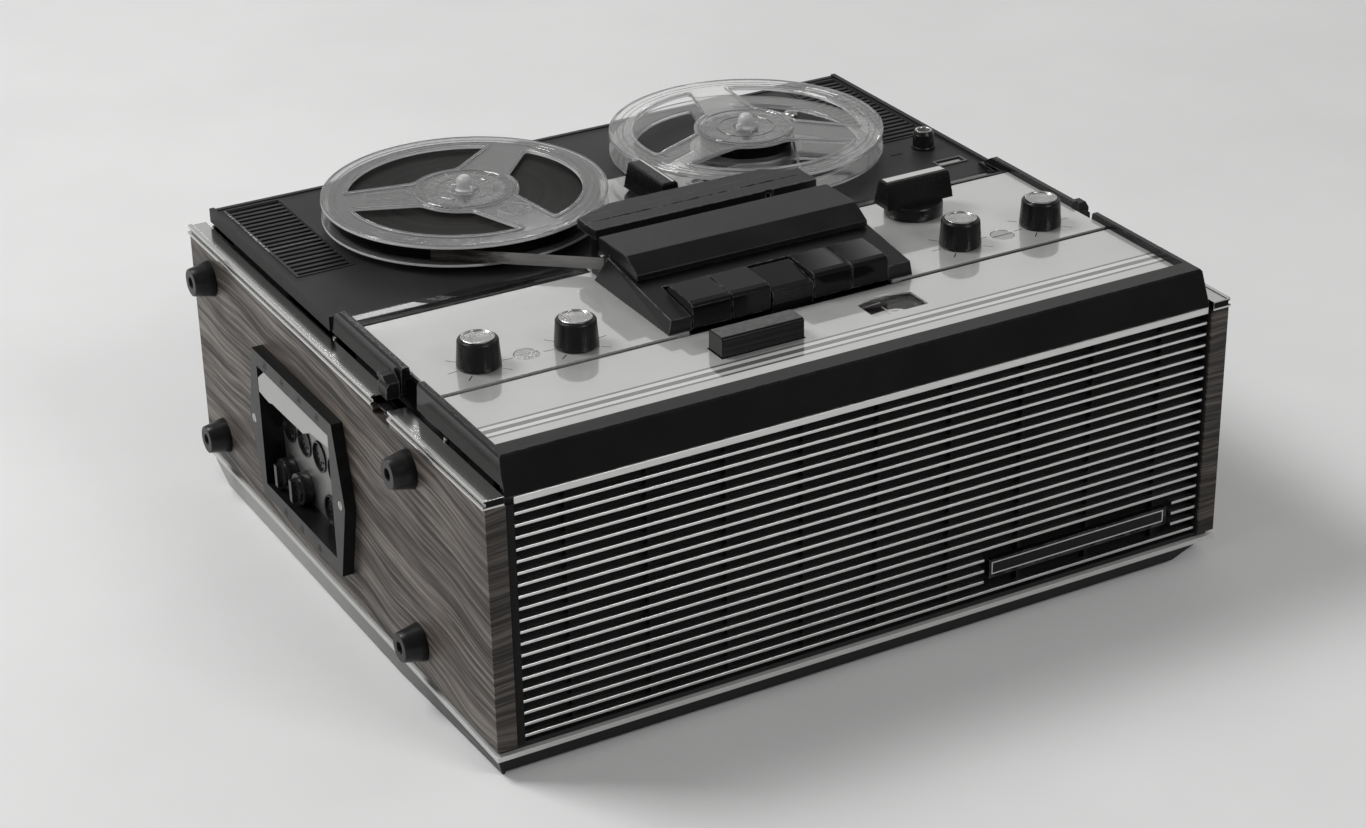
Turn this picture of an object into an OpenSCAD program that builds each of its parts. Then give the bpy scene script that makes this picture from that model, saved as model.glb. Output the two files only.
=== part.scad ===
// Portable reel to reel tape deck, an assembly of separate pieces.
// Frame: +Z up, floor at Z = 0, X from left to right seen from the grille, +Y to the back,
// origin at the middle of the base. Sizes in mm.

/* [Case] */
// Width over the two wooden side panels
case_w = 400; // [380:1:430]
// Depth of the side panels
case_d = 352; // [340:1:380]
// Height of the side panels
panel_h = 123; // [118:1:132]
// Thickness of the side panels
panel_t = 10; // [8:0.5:11]
// Height of the side panels' lower edge above the floor
panel_z = 14; // [12:0.5:20]
// Height of the aluminium top trim
trim_h = 5; // [4:0.5:6]

/* [Grille] */
// Number of thin slats
slat_count = 20; // [16:1:22]
// Distance between neighbouring slats
slat_pitch = 5.942; // [5:0.05:7]
// Height of one slat
slat_h = 1.6; // [1:0.1:2.4]
// Length of the badge plate
badge_w = 106; // [80:1:120]
// Height of the badge plate
badge_h = 9.8; // [8:0.2:11]

/* [Deck] */
// Height of the rear deck surface above the side panels' lower edge
deck_z = 135.7; // [134:0.1:137]
// Height of the bezel rim above the side panels' lower edge
bezel_z = 142.7; // [141.5:0.1:144]
// Height of the control panel surface above the side panels' lower edge
ctrl_z = 140; // [139.5:0.1:140.5]
// Slots in each louvre field
louvre_count = 20; // [12:1:20]
// Distance between louvre slots
louvre_pitch = 4.85; // [4.4:0.05:5]

/* [Reels] */
// Outer diameter of a reel flange
reel_d = 147; // [140:1:150]
// Radius of the tape pack on the supply reel
pack_supply_r = 69.5; // [30:0.5:70]
// Radius of the tape pack on the take-up reel
pack_takeup_r = 24.5; // [22:0.5:69]
// Tape width
tape_w = 6.25; // [6:0.05:6.4]
// Half the distance between the two spindles
spindle_half = 83.2; // [80:0.1:84]

/* [Controls] */
// Base diameter of a control knob
knob_d = 21.2; // [18:0.2:23]
// Height of a control knob above the panel
knob_h = 13.6; // [10:0.2:16]
// Diameter of a selector's round base
selector_d = 31; // [26:0.5:31]
// Width of one piano key
key_w = 21; // [19:0.2:21]
// Length of the head hood
hood_w = 128.6; // [120:0.2:128.8]

/* [Side fittings] */
// Diameter of a side foot at the case
foot_d = 19; // [16:0.5:22]
// How far a side foot stands out
foot_h = 11; // [8:0.5:14]
// How far the connector escutcheon stands out
esc_h = 6; // [4:0.5:8]

/* [Hidden] */
$fn = 64;
e = 0.01;
hw = case_w / 2;                 // outer face of a side panel
iw = hw - panel_t;               // inner face of a side panel
yf = -case_d / 2;                // front edge of the side panels
yb = case_d / 2;                 // back edge of the side panels
zw = panel_z;                    // lower edge of the side panels
zt = zw + panel_h;               // upper edge of the side panels
ox = -200; oy = -176;            // corner datum used for the deck layout
zd = zw + deck_z;
zb = zw + bezel_z;
zc = zw + ctrl_z;
cx = 3;                          // middle between the spindles
ys = 92.5;                       // spindle line
xs = cx - spindle_half;
xt = cx + spindle_half;
rr = reel_d / 2;
z_fl = zd + 4;                   // underside of the lower flange
z_fu = zd + 13.6;                // underside of the upper flange
tape_z0 = z_fl + 1.6 + (z_fu - z_fl - 1.6 - tape_w) / 2;
y_tape = -16.7;                  // tape line past the heads
kp = [[-154.3, -77.4], [-106.2, -81.4], [109.7, -77.1], [158.1, -76.8]];   // knob positions
sp = [7.2, 51.8];                // speed knob
sel = [112.6, -30.4];            // selector
chz = 132;                       // chassis underside

// ---- helpers ----------------------------------------------------------------------------
module box(x0, x1, y0, y1, z0, z1) { translate([x0, y0, z0]) cube([x1 - x0, y1 - y0, z1 - z0]); }
module cyl(x, y, z0, z1, r) { translate([x, y, z0]) cylinder(h = z1 - z0, r = r); }
module cone(x, y, z0, z1, r0, r1) { translate([x, y, z0]) cylinder(h = z1 - z0, r1 = r0, r2 = r1); }
module xcyl(x0, x1, y, z, r) { translate([x0, y, z]) rotate([0, 90, 0]) cylinder(h = x1 - x0, r = r); }
module ycyl(x, y0, y1, z, r) { translate([x, y0, z]) rotate([-90, 0, 0]) cylinder(h = y1 - y0, r = r); }
// plan outline extruded up
module slab(pts, z0, z1) { translate([0, 0, z0]) linear_extrude(height = z1 - z0) polygon(pts); }
// outline in Y-Z extruded along X
module xsec(pts, x0, x1) {
  translate([x0, 0, 0]) rotate([90, 0, 90]) linear_extrude(height = x1 - x0) polygon(pts);
}
// outline in X-Z extruded along Y
module ysec(pts, y0, y1) {
  translate([0, y1, 0]) rotate([90, 0, 0]) linear_extrude(height = y1 - y0) polygon(pts);
}

// ---- connector opening data ----------------------------------------------------------------
ey = 31.2; ez = zw + 56.3;       // middle of the connector escutcheon
eoy = 44.8; eoz = 33.2;          // half opening
sock_y = [66.6, 47.5, 28.4, 9.3];
sock2_y = [66.0, 46.9, 17.5];

// ---- case --------------------------------------------------------------------------------
module side_panel_left() color("peru") {
  difference() {
    box(-hw, -iw, yf, yb, zw, zt);
    box(-hw - 1, -iw + 1, ey - eoy - 2.2, ey + eoy + 2.2, ez - eoz - 2.2, ez + eoz + 2.2);
    // lid latch pocket in the upper edge
    box(-hw - 1, -iw + 1, -76, -58, zt - 4, zt + 1);
  }
}

module side_panel_right() color("peru") {
  difference() {
    box(iw, hw, yf, yb, zw, zt);
    box(iw - 1, hw + 1, -76, -58, zt - 4, zt + 1);
  }
}

module trim_profile_top() {
  // outer side at x = 0, growing inwards
  polygon([[-1.0, 0], [-1.0, 1.3], [0.5, 1.7], [0.5, 3.2], [-0.5, 3.6], [-0.5, trim_h],
           [1.6, trim_h], [1.9, trim_h - 0.5], [9.4, trim_h - 0.5], [9.4, 0]]);
}

module trim_top(sx) {
  difference() {
    translate([0, 0, zt]) mirror([sx > 0 ? 1 : 0, 0, 0]) translate([-hw, 0, 0])
      translate([0, yb, 0]) rotate([90, 0, 0]) linear_extrude(height = case_d) trim_profile_top();
    box(sx > 0 ? iw - 5 : -hw - 3, sx > 0 ? hw + 3 : -iw + 5, -76, -58, zt - 1, zt + trim_h + 1);
  }
}

module trims() color("silver") {
  trim_top(-1);
  trim_top(1);
  // lower trim: left, right and along the front
  box(-hw - 0.4, -hw + 2.6, yf - 0.4, yb, zw - 4.8, zw - 2.3);
  box(hw - 2.6, hw + 0.4, yf - 0.4, yb, zw - 4.8, zw - 2.3);
  box(-hw + 2.6, hw - 2.6, yf - 0.4, yf + 2.6, zw - 4.8, zw - 2.3);
  // lugs of the carry handle
  for (s = [-1, 1]) mirror([0, s > 0 ? 1 : 0, 0]) difference() {
    union() {
      box(hw, hw + 2, -84, -62.6, zw + 84, zw + 104);
      box(hw + 1, hw + 11, -74, -62.6, zw + 88.5, zw + 99.5);
    }
    ycyl(hw + 5.5, -71, -60, zw + 94, 3.06);
    xcyl(hw + 1.2, hw + 3, -79, zw + 94, 2.4);
  }
}

module handle() color("black") {
  // folding carry handle, lying flat on the right side
  x = hw + 5.5; z = zw + 94;
  ycyl(x, -62, 62, z - 46, 3.6);
  difference() {
    box(x - 3.6, x + 3.6, -62, 62, z - 57, z - 38);
    box(x - 5, x - 2.2, -50, 50, z - 54, z - 41);
  }
  for (s = [-1, 1]) mirror([0, s > 0 ? 1 : 0, 0]) {
    box(x - 3, x + 3, -62, -56, z - 38, z);
    ycyl(x, -62, -56, z, 4.6);
    ycyl(x, -70, -61, z, 3);
  }
}

module base_pan() color("dimgray") {
  difference() {
    union() {
      hull() {
        box(-hw + 0.6, iw + 0.5, yf + 1, yb - 6, zw - 5.3, zw - 4.8);
        box(-hw + 2.6, iw - 12.5, yf + 3, 147, 1.5, 2.5);
      }
      // left flank, upright and flush with the trim, drawn in towards the front corner
      hull() {
        box(-hw - 0.2, -hw + 3.2, -70, yb - 6.5, zw - 5.3, zw - 4.8);
        box(-hw - 0.2, -hw + 3.2, -70, 152, 0.3, 0.8);
      }
      hull() {
        box(-hw - 0.2, -hw + 3.2, -70, -69, 0.3, zw - 4.8);
        box(-hw + 0.6, -hw + 3.6, yf + 1, yf + 2, zw - 5.3, zw - 4.8);
        box(-hw + 3.2, -hw + 4.6, yf + 3, yf + 4, 0.3, 0.8);
      }
    }
    box(-hw + 12, iw - 18, yf + 12, 136, 4, zw);
  }
  difference() {
    box(-hw + 2.6, hw - 2.6, yf + 2.6, yb - 1, zw - 4.8, zw);
    box(-iw + 1, iw - 1, yf + 12, yb - 9, zw - 6, zw + 1);
  }
}

module feet() color("black") {
  // four discs under the base
  for (x = [-176, 154], y = [-156, 126]) difference() {
    cyl(x, y, 0, 1.5, 9);
    cyl(x, y, -1, 0.7, 2.2);
  }
  // four cones on the left side
  for (y = [79.5 + oy, 325.5 + oy], z = [zw + 17, zw + 107.5]) difference() {
    translate([-hw, y, z]) rotate([0, -90, 0]) cylinder(h = foot_h, r1 = foot_d / 2, r2 = foot_d / 2 - 2.3);
    translate([-hw - foot_h - 1, y, z]) rotate([0, 90, 0]) cylinder(h = 5, r = 3);
  }
}

module rear_cover() color("dimgray") {
  difference() {
    box(-iw + 0.2, iw - 0.2, yb - 9, yb - 6.5, zw, zw + 127.5);
    // air slots
    for (i = [0:13]) box(-150 + i * 10, -146 + i * 10, yb - 12, yb, zw + 60, zw + 100);
    // mains inlet
    box(116, 144, yb - 12, yb, zw + 16, zw + 36);
  }
}

module mains_inlet() color("black") {
  difference() {
    union() {
      box(113, 147, yb - 6.5, yb - 4.5, zw + 13, zw + 39);
      box(116.1, 143.9, yb - 26, yb - 6.5, zw + 16.1, zw + 35.9);
    }
    box(119, 141, yb - 22, yb + 1, zw + 19, zw + 33);
  }
  for (x = [125, 135]) ycyl(x, yb - 24, yb - 8, zw + 26, 2);
}

// ---- grille ------------------------------------------------------------------------------
module grille_frame() color("black") {
  difference() {
    box(-iw, iw, yf + 9, yf + 11.5, zw, zw + 122);
    for (x = [-92, 92], k = [-7:7]) {
      w = sqrt(46 * 46 - pow(k * slat_pitch, 2));
      box(x - w, x + w, yf, yf + 20, zw + 64.5 + k * slat_pitch - 1.4, zw + 64.5 + k * slat_pitch + 1.4);
    }
  }
  for (i = [0:8]) box(-158.5 + i * 40.5 - 1, -158.5 + i * 40.5 + 1, yf + 5.8, yf + 9, zw + 1, zw + 121);
  box(-iw, ox + 14.4, yf + 1.2, yf + 9, zw, zw + 122);
  box(189.2, iw, yf + 1.2, yf + 9, zw, zw + 122);
}

module grille_slats() color("silver") {
  for (k = [0:slat_count - 1]) {
    z = zw + 3.3 + k * slat_pitch;
    if (k >= 1 && k <= 3) {
      box(ox + 14.6, 62, yf + 2, yf + 5.8, z - slat_h / 2, z + slat_h / 2);
      box(174, 189, yf + 2, yf + 5.8, z - slat_h / 2, z + slat_h / 2);
    } else
      box(ox + 14.6, 189, yf + 2, yf + 5.8, z - slat_h / 2, z + slat_h / 2);
  }
  box(ox + 14.6, 189, yf + 1.6, yf + 9, zw + 121.2, zw + 124.8);
}

module badge_plate() color("black") {
  difference() {
    box(118 - badge_w / 2, 118 + badge_w / 2, yf + 2.2, yf + 5.8, zw + 15.2 - badge_h / 2, zw + 15.2 + badge_h / 2);
    box(118 - badge_w / 2 + 1, 118 + badge_w / 2 - 1, yf + 1, yf + 2.8, zw + 15.2 - badge_h / 2 + 1, zw + 15.2 + badge_h / 2 - 1);
  }
}

module speaker(x) {
  translate([x, yf + 11.5, zw + 64]) rotate([-90, 0, 0]) {
    // basket and flange
    difference() {
      union() { cylinder(h = 3, r = 50); cylinder(h = 24, r1 = 47, r2 = 24); }
      translate([0, 0, -1]) cylinder(h = 3.001, r = 44);
      translate([0, 0, 2]) cylinder(h = 20, r1 = 44, r2 = 14);
    }
    // cone centre and magnet
    translate([0, 0, 16]) cylinder(h = 6, r = 13);
    translate([0, 0, 24]) cylinder(h = 16, r = 27);
  }
}

module loudspeakers() color("dimgray") { speaker(-92); speaker(92); }

// ---- connectors --------------------------------------------------------------------------
module connector_bezel() color("gray") {
  difference() {
    union() {
      translate([-hw - esc_h, 0, 0]) rotate([90, 0, 90]) linear_extrude(height = esc_h)
        polygon([[ey + 50, ez + 41.2], [ey + 60, ez], [ey + 50, ez - 41.2],
                 [ey - 50, ez - 41.2], [ey - 60, ez], [ey - 50, ez + 41.2]]);
      box(-hw, -hw + 5.5, ey - eoy - 2, ey + eoy + 2, ez - eoz - 2, ez + eoz + 2);
    }
    box(-hw - esc_h - 1, -hw + 6, ey - eoy, ey + eoy, ez - eoz, ez + eoz);
    for (s = [-1, 1]) translate([-hw - esc_h - 1, ey + s * 54.5, ez]) rotate([0, 90, 0]) cylinder(h = 2, r = 2.6);
  }
}

module connector_plate() color("lightgray") {
  difference() {
    box(-hw + 5.5, -hw + 7, ey - eoy - 2, ey + eoy + 2, ez - eoz - 2, ez + eoz + 2);
    for (y = sock_y) xcyl(-hw + 4, -hw + 8, y, zw + 56.5, 8.2);
    for (y = sock2_y) xcyl(-hw + 4, -hw + 8, y, zw + 31.5, 8.2);
  }
}

module din_socket(y, z) {
  x0 = -hw + 4.6;
  difference() {
    xcyl(x0, x0 + 12, y, z, 8.1);
    // shallow mouth, slot round the insert, contact holes
    xcyl(x0 - 1, x0 + 1.4, y, z, 7.3);
    difference() { xcyl(x0, x0 + 8, y, z, 7.3); xcyl(x0 - 1, x0 + 9, y, z, 6.2); }
    for (a = [-90, -45, 0, 45, 90]) xcyl(x0, x0 + 8, y + 3.6 * sin(a), z - 3.6 * cos(a), 0.8);
  }
}

module connector_sockets() color("black") {
  for (y = sock_y) din_socket(y, zw + 56.5);
  din_socket(sock2_y[2], zw + 31.5);
  for (i = [0, 1]) difference() {
    xcyl(-hw + 4.6, -hw + 16.6, sock2_y[i], zw + 31.5, 8.1);
    xcyl(-hw + 3, -hw + 12, sock2_y[i], zw + 31.5, 6.6);
  }
}

module dummy_plugs() color("black") {
  for (i = [0, 1]) {
    y = sock2_y[i];
    xcyl(-hw + 4.6, -hw + 10, y, zw + 31.5, 6.55);
    xcyl(-hw - 0.5, -hw + 4.6, y, zw + 31.5, 8.2);
    xcyl(-hw - 2.0, -hw - 0.5, y, zw + 31.5, 6.2);
    box(-hw - 4.6, -hw - 2.0, y - 1.6, y + 1.6, zw + 31.5 - 6, zw + 31.5 + 6);
  }
}

module connector_bar() color("white") {
  // light plastic strip across the upper part of the opening, stepped along its lower edge
  y0 = ey - eoy; y1 = ey + eoy; za = ez + eoz;
  translate([-hw - 5.9, 0, 0]) rotate([90, 0, 90]) linear_extrude(height = 3.4)
    polygon([[y0, za], [y0, ez + 26.2], [y0 + 24, ez + 23.9], [y0 + 32.7, ez + 19.8], [y1 - 17, ez + 19], [y1 - 13.8, ez + 17.8], [y1, ez + 18.8], [y1, ez + 26.5], [y1 - 4, ez + 29.6], [y1 - 9, za]]);
}

// ---- deck --------------------------------------------------------------------------------
module deck_plate() color("#222222") {
  x0 = ox + 9.8; x1 = -x0;
  y0 = -15.5; y1 = yb - 6; ys0 = 13;   // ys0: where the bezel's side walls end
  sk = zw + 129.6;                     // lower edge of the skirt
  difference() {
    union() {
      box(-186.2, 186.2, y0, ys0 + 1, zd - 3, zd);
      box(x0, x1, ys0, y1, zd - 3, zd);
      // skirt over the side panels' trim, with a dark gap under it
      box(x0, x0 + 2.5, ys0, y1, sk, zd - 3);
      box(x1 - 2.5, x1, ys0, y1, sk, zd - 3);
      box(x0, x1, y1 - 2.5, y1, sk, zd - 3);
      // raised border
      box(x0, x0 + 2.6, ys0, y1, zd, zd + 1.3);
      box(x1 - 2.6, x1, ys0, y1, zd, zd + 1.3);
      box(x0, x1, y1 - 2.6, y1, zd, zd + 0.5);
    }
    // louvre fields
    for (s = [-1, 1], i = [0:louvre_count - 1])
      box(s > 0 ? 155 : -182.5, s > 0 ? 185.4 : -155, 68.5 + i * louvre_pitch, 68.5 + i * louvre_pitch + 2.4, zd - 4, zd + 1);
    // spindle holes
    for (x = [xs, xt]) cyl(x, ys, zd - 4, zd + 1, 9);
    // speed knob, counter window, reset knob, inspection slit
    cyl(sp[0], sp[1], zd - 4, zd + 1, 3.1);
    box(165, 180, 22.8, 28.2, zd - 4, zd + 1);
    cyl(172, 50.4, zd - 4, zd + 1, 2.1);
    box(150, 157.2, 48.1, 49.1, zd - 1, zd + 1);
    // head block
    box(-59, 61, y0 - 1, 7, zd - 4, zd + 1);
  }
  // raised rim round the louvres
  for (s = [-1, 1]) difference() {
    box(s > 0 ? 153 : -184.5, s > 0 ? 187.4 : -153, 66.5, 68.5 + louvre_count * louvre_pitch, zd, zd + 0.4);
    box(s > 0 ? 154.4 : -183.1, s > 0 ? 186 : -154.4, 67.9, 67.1 + louvre_count * louvre_pitch, zd - 1, zd + 1);
  }
}

module bezel() color("#111111") {
  xo = ox + 10.4;   // outer side
  xi = ox + 15.5;   // inner side of a rim
  zs = zc - 3.6;    // underside of the web
  zl = zw + 129.4;  // lower edge of the side walls
  difference() {
    intersection() {
      union() {
        // front beam: sloping face and flat top
        xsec([[yf + 2, zw + 124.8], [yf + 8, zb - 0.7], [yf + 8.7, zb], [yf + 18.6, zb], [yf + 19.2, zb - 0.5], [yf + 19.8, zc - 1.6], [yf + 23, zc - 1.6],
              [yf + 23, zs], [yf + 8, zs], [yf + 5, zw + 124.8]], xo, -xo);
        // side rims and walls
        for (s = [0, 1]) mirror([s, 0, 0])
          ysec([[xo, zl], [xo + 1, zb - 1.2], [xo + 1.9, zb], [xi - 0.6, zb], [xi, zb - 0.5], [xi + 0.4, zc - 1.6], [xi + 3, zc - 1.6], [xi + 3, zs], [xo + 2.4, zs], [xo + 2.4, zl]],
               yf + 5, 12.5);
        // web under the aluminium panels, with the bar between them
        box(xi + 3, -xi - 3, yf + 23, -12, zs, zc - 1.6);
        box(xi + 0.4, -xi - 0.4, yf + 76.6, yf + 79.4, zc - 1.6, zc - 0.9);
        box(xi + 3, -xi - 3, -14.5, -12, zd, zs);
        // glossy lip sloping from the rear panel down to the deck, left and right of the heads
        for (r = [[xi + 0.5, -66], [70, -xi - 0.5]])
          xsec([[-12.1, zd], [-12.1, zs], [-11.4, zs], [-11.4, zc + 0.15], [-10.9, zc + 0.5], [-9.9, zc + 0.45], [-9.2, zc - 0.35], [-7.4, zc - 0.6],
                [-3.4, zc - 1.5], [0.2, zc - 2.8], [3.6, zd + 0.6], [5.2, zd]], r[0], r[1]);
      }
      // side view of the whole moulding
      xsec([[yf + 2, zw + 124.8], [yf + 8, zb - 0.7], [yf + 8.7, zb], [4, zb], [5.2, zb - 0.6], [10.2, zd + 3.4], [12.5, zd + 1.2], [12.5, zw + 124.8]], xo - 1, -xo + 1);
      // front view: the ends lean in a little
      ysec([[xo, zw + 124.8], [xo + 1, zb - 1.2], [xo + 1.9, zb], [-xo - 1.9, zb], [-xo - 1, zb - 1.2], [-xo, zw + 124.8]], yf, 13);
    }
    // keys and heads
    box(-62, 62, -97.5, -11, zs - 1, zb + 1);
    // knobs
    for (p = kp) cyl(p[0], p[1], zs - 1, zc, 4.2);
    cyl(sel[0], sel[1], zs - 1, zc, 4.2);
    // power key, meter
    box(-56.2, -11.3, -129.4, -115.1, zs - 1, zc);
    box(27.6, 58.6, -127.5, -107, zs - 1, zc);
    // lid latch notches
    for (s = [-1, 1]) box(s < 0 ? xo - 1 : -xi - 0.6, s < 0 ? xi + 0.6 : -xo + 1, -84.5, -67.5, zw + 129, zb + 1);
    // the deck's front edge passes under the rims
    box(-186.6, 186.6, -15.9, 13, zw + 127, zd);
  }
}

module panel_rear() color("silver") {
  x0 = ox + 15.9; z0 = zc - 1.6;
  // small plate under the rear selector
  difference() {
    box(-35, 47, 24, 98, zd, zd + 0.4);
    cyl(sp[0], sp[1], zd - 1, zd + 1, 4);
  }
  difference() {
    box(x0, -x0, yf + 79.4, -11.6, z0, zc);
    box(-62, 62, -92.3, -11, z0 - 1, zc + 1);
    box(-54.8, 57.4, -98, -92, z0 - 1, zc + 1);
    for (p = kp) cyl(p[0], p[1], z0 - 1, zc + 1, 4.2);
    cyl(sel[0], sel[1], z0 - 1, zc + 1, 4.2);
    for (x = [-130.5, 134.2]) cyl(x, -78.2, z0 + 0.4, zc + 1, 6.2);
    for (s = [-1, 1]) box(s < 0 ? x0 - 1 : -x0 - 0.4, s < 0 ? x0 + 0.4 : -x0 + 1, -84.5, -67.5, z0 - 1, zc + 1);
  }
}

module panel_front() color("silver") {
  x0 = ox + 15.9; z0 = zc - 1.6;
  difference() {
    box(x0, -x0, yf + 20, yf + 76.6, z0, zc - 0.4);
    box(-56.2, -11.3, -129.4, -115.1, z0 - 1, zc + 1);
    // meter opening with an arched top
    intersection() {
      box(28, 58.2, -126.9, -107.6, z0 - 1, zc + 1);
      cyl(43, -142, z0 - 1, zc + 1, 34.4);
    }
  }
}

module panel_screws() color("lightgray") {
  for (x = [-130.5, 134.2]) difference() {
    cyl(x, -78.2, zc - 1.2, zc - 0.25, 5.8);
    box(x - 6, x + 6, -78.8, -77.6, zc - 0.8, zc + 1);
  }
  // rim screws on the ledge
  for (s = [-1, 1], y = [-115, 9]) cyl(s * 189.2, y, zw + 124.8, zw + 128.4, 1.2);
  // screws of the connector bezel
  for (s = [-1, 1]) difference() {
    xcyl(-hw - esc_h - 0.2, -hw - esc_h + 1, ey + s * 54.5, ez, 2.4);
    box(-hw - esc_h - 1, -hw - esc_h + 0.3, ey + s * 54.5 - 0.35, ey + s * 54.5 + 0.35, ez - 3, ez + 3);
  }
  // round-headed screw beside the right reel
  cyl(136, 129, zd, zd + 1.1, 3.9);
  cone(136, 129, zd + 1.1, zd + 2.0, 3.9, 3.2);
  cone(136, 129, zd + 2.0, zd + 2.6, 3.2, 1.6);
}

module lid_latches() color("#333333") {
  for (s = [-1, 1]) mirror([s > 0 ? 1 : 0, 0, 0]) {
    // bevelled striker block behind the notch
    difference() {
      xsec([[-67.2, zw + 128.4], [-67.2, zw + 136], [-63, zw + 139], [-57.5, zw + 139], [-57.5, zw + 128.4]], ox + 3.6, ox + 10.2);
      translate([ox + 3.6, 0, zw + 137]) rotate([0, -45, 0]) box(-5, 0, -80, -50, -2, 6);
    }
    // spring clip lying in the pocket
    box(ox + 1.2, ox + 9.6, -75.6, -68.2, zw + 122.8, zw + 123.6);
    xcyl(ox + 1.2, ox + 9.6, -74.4, zw + 124.8, 1.25);
    box(ox + 2.2, ox + 8.6, -68.2, -58.6, zw + 122.8, zw + 123.6);
  }
}

// ---- head assembly -----------------------------------------------------------------------
module head_cover_rear() color("#222222") {
  zt2 = zw + 162;
  difference() {
    union() {
      slab([[ox + 140, -13], [ox + 265.6, -13], [ox + 265.6, 4.6], [ox + 249, 15], [ox + 163, 15.4], [ox + 140, 6]], zt2 - 5, zt2);
      slab([[ox + 146, -9], [ox + 260, -9], [ox + 260, 3], [ox + 247, 12.6], [ox + 165, 12.8], [ox + 146, 4]], zd, zt2 - 5);
    }
    slab([[ox + 148.5, -12], [ox + 257.5, -12], [ox + 257.5, 1.5], [ox + 246, 10], [ox + 166, 10.2], [ox + 148.5, 2.6]], zd - 1, zt2 - 2.4);
    // step along the rear of the top
    slab([[ox + 138, 5.0], [ox + 268, 5.0], [ox + 268, 20], [ox + 138, 20]], zt2 - 0.7, zt2 + 1);
    // shallow groove
    box(ox + 139, ox + 267, -3.6, -2.4, zt2 - 0.5, zt2 + 1);
    // room for the capstan
    cyl(38, y_tape + 2.3, zd, zt2 + 1, 2.6);
  }
}

// sloping top of the key housing: height at depth y
function hz(y) = zw + 147.4 + 0.1376 * (y + 96);

module key_housing() color("#1a1a1a") {
  y0 = -95.6; yr = -21.5; yt = -33.5;
  difference() {
    // body with leaning cheeks
    union() {
      xsec([[y0, zc], [y0, hz(y0)], [yt, hz(yt)], [yr, zc]], ox + 136, ox + 268);
      for (s = [-1, 1]) mirror([s > 0 ? 1 : 0, 0, 0]) translate([s > 0 ? -4 : 0, 0, 0])
        hull() {
          box(ox + 134.6, ox + 136.2, y0, yr, zc, zc + 0.4);
          xsec([[y0, zc], [y0, hz(y0)], [yt, hz(yt)], [yr, zc]], ox + 136, ox + 136.2);
        }
    }
    // inside
    xsec([[y0 + 3, zc - 1], [y0 + 3, hz(y0 + 3) - 2.6], [yt - 3, hz(yt - 3) - 2.6], [yr + 3, zc - 1]], ox + 139, ox + 265);
    // key opening, open to the front
    box(-53.1, 55.5, y0 - 1, -67.2, zc - 1, zw + 170);
    // head bay, open to the rear
    box(ox + 139, ox + 265, -36, yr + 4, zc - 1, zw + 170);
  }
}

module head_block() color("lightgray") {
  // base plate of the heads, standing on the chassis
  difference() {
    box(-58, 60, -58, 6, zd - 2, zd);
    cyl(38, y_tape + 2.3, zd - 3, zd + 1, 2.4);
  }
  for (x = [-54, 56], y = [-54, 2]) cyl(x, y, chz + 2.5, zd - 2, 3);
  // key shaft between two ears
  xcyl(-60.6, 64.6, -58, zw + 146, 2);
  for (x = [-58, 58]) difference() {
    box(x, x + 2, -61.5, -54.5, zd, zw + 149);
    xcyl(x - 1, x + 3, -58, zw + 146, 2);
  }
  // erase and record/play heads behind the tape
  for (x = [-34, -8]) {
    box(x - 6, x + 6, y_tape + 1.2, y_tape + 12, zd, zw + 154);
    intersection() {
      cyl(x, y_tape + 7.4, zd + 2, zw + 153, 7);
      box(x - 5, x + 5, y_tape + 0.5, y_tape + 1.2, zd + 2, zw + 153);
    }
  }
  // guide posts
  for (x = [-56, 58]) { cyl(x, y_tape + 2.4, zd, tape_z0 - 0.4, 3); cyl(x, y_tape + 2.4, tape_z0 - 0.4, tape_z0 + tape_w + 0.4, 2); cyl(x, y_tape + 2.4, tape_z0 + tape_w + 0.4, tape_z0 + tape_w + 1.6, 3); }
  // pinch roller lever, its pivot and the roller's pin
  cyl(54, -23.4, zd, zd + 3.6, 3.2);
  box(38, 54, -25.2, -21.6, zd + 1.2, zd + 3.6);
  cyl(38, -23.4, zd + 1.2, zd + 3.6, 3);
  cyl(38, -23.4, zd + 3.6, zd + 15, 1.5);
  // capstan bearing
  difference() {
    cyl(38, y_tape + 2.3, zd, zd + 4, 5);
    cyl(38, y_tape + 2.3, zd - 3, zd + 5, 2.4);
  }
}

module pinch_roller() color("#202020") difference() {
  cyl(38, -23.4, zd + 4.2, zd + 14.2, 6);
  cyl(38, -23.4, zd + 4, zd + 15, 1.56);
}

// tangent point on a pack, seen from p, on the side given by s
function tpt(p, c, r, s) = let(d = norm(p - c), a = atan2(p[1] - c[1], p[0] - c[0]), b = acos(r / d)) c + r * [cos(a + s * b), sin(a + s * b)];
module tape_strand() color("#5a4a40") {
  pl = [-57.6, y_tape + 0.15]; pr = [59.6, y_tape + 0.15];
  a = tpt(pl, [xs, ys], pack_supply_r + 0.35, -1); b = tpt(pr, [xt, ys], pack_takeup_r + 0.35, 1);
  t = [0, 0.12]; n = [0.09, 0.09];
  translate([0, 0, tape_z0]) linear_extrude(height = tape_w)
    polygon([a - n, pl - t, pr - t, b + [n[0], -n[1]], b - [n[0], -n[1]], pr + t, pl + t, a + n]);
}

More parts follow.
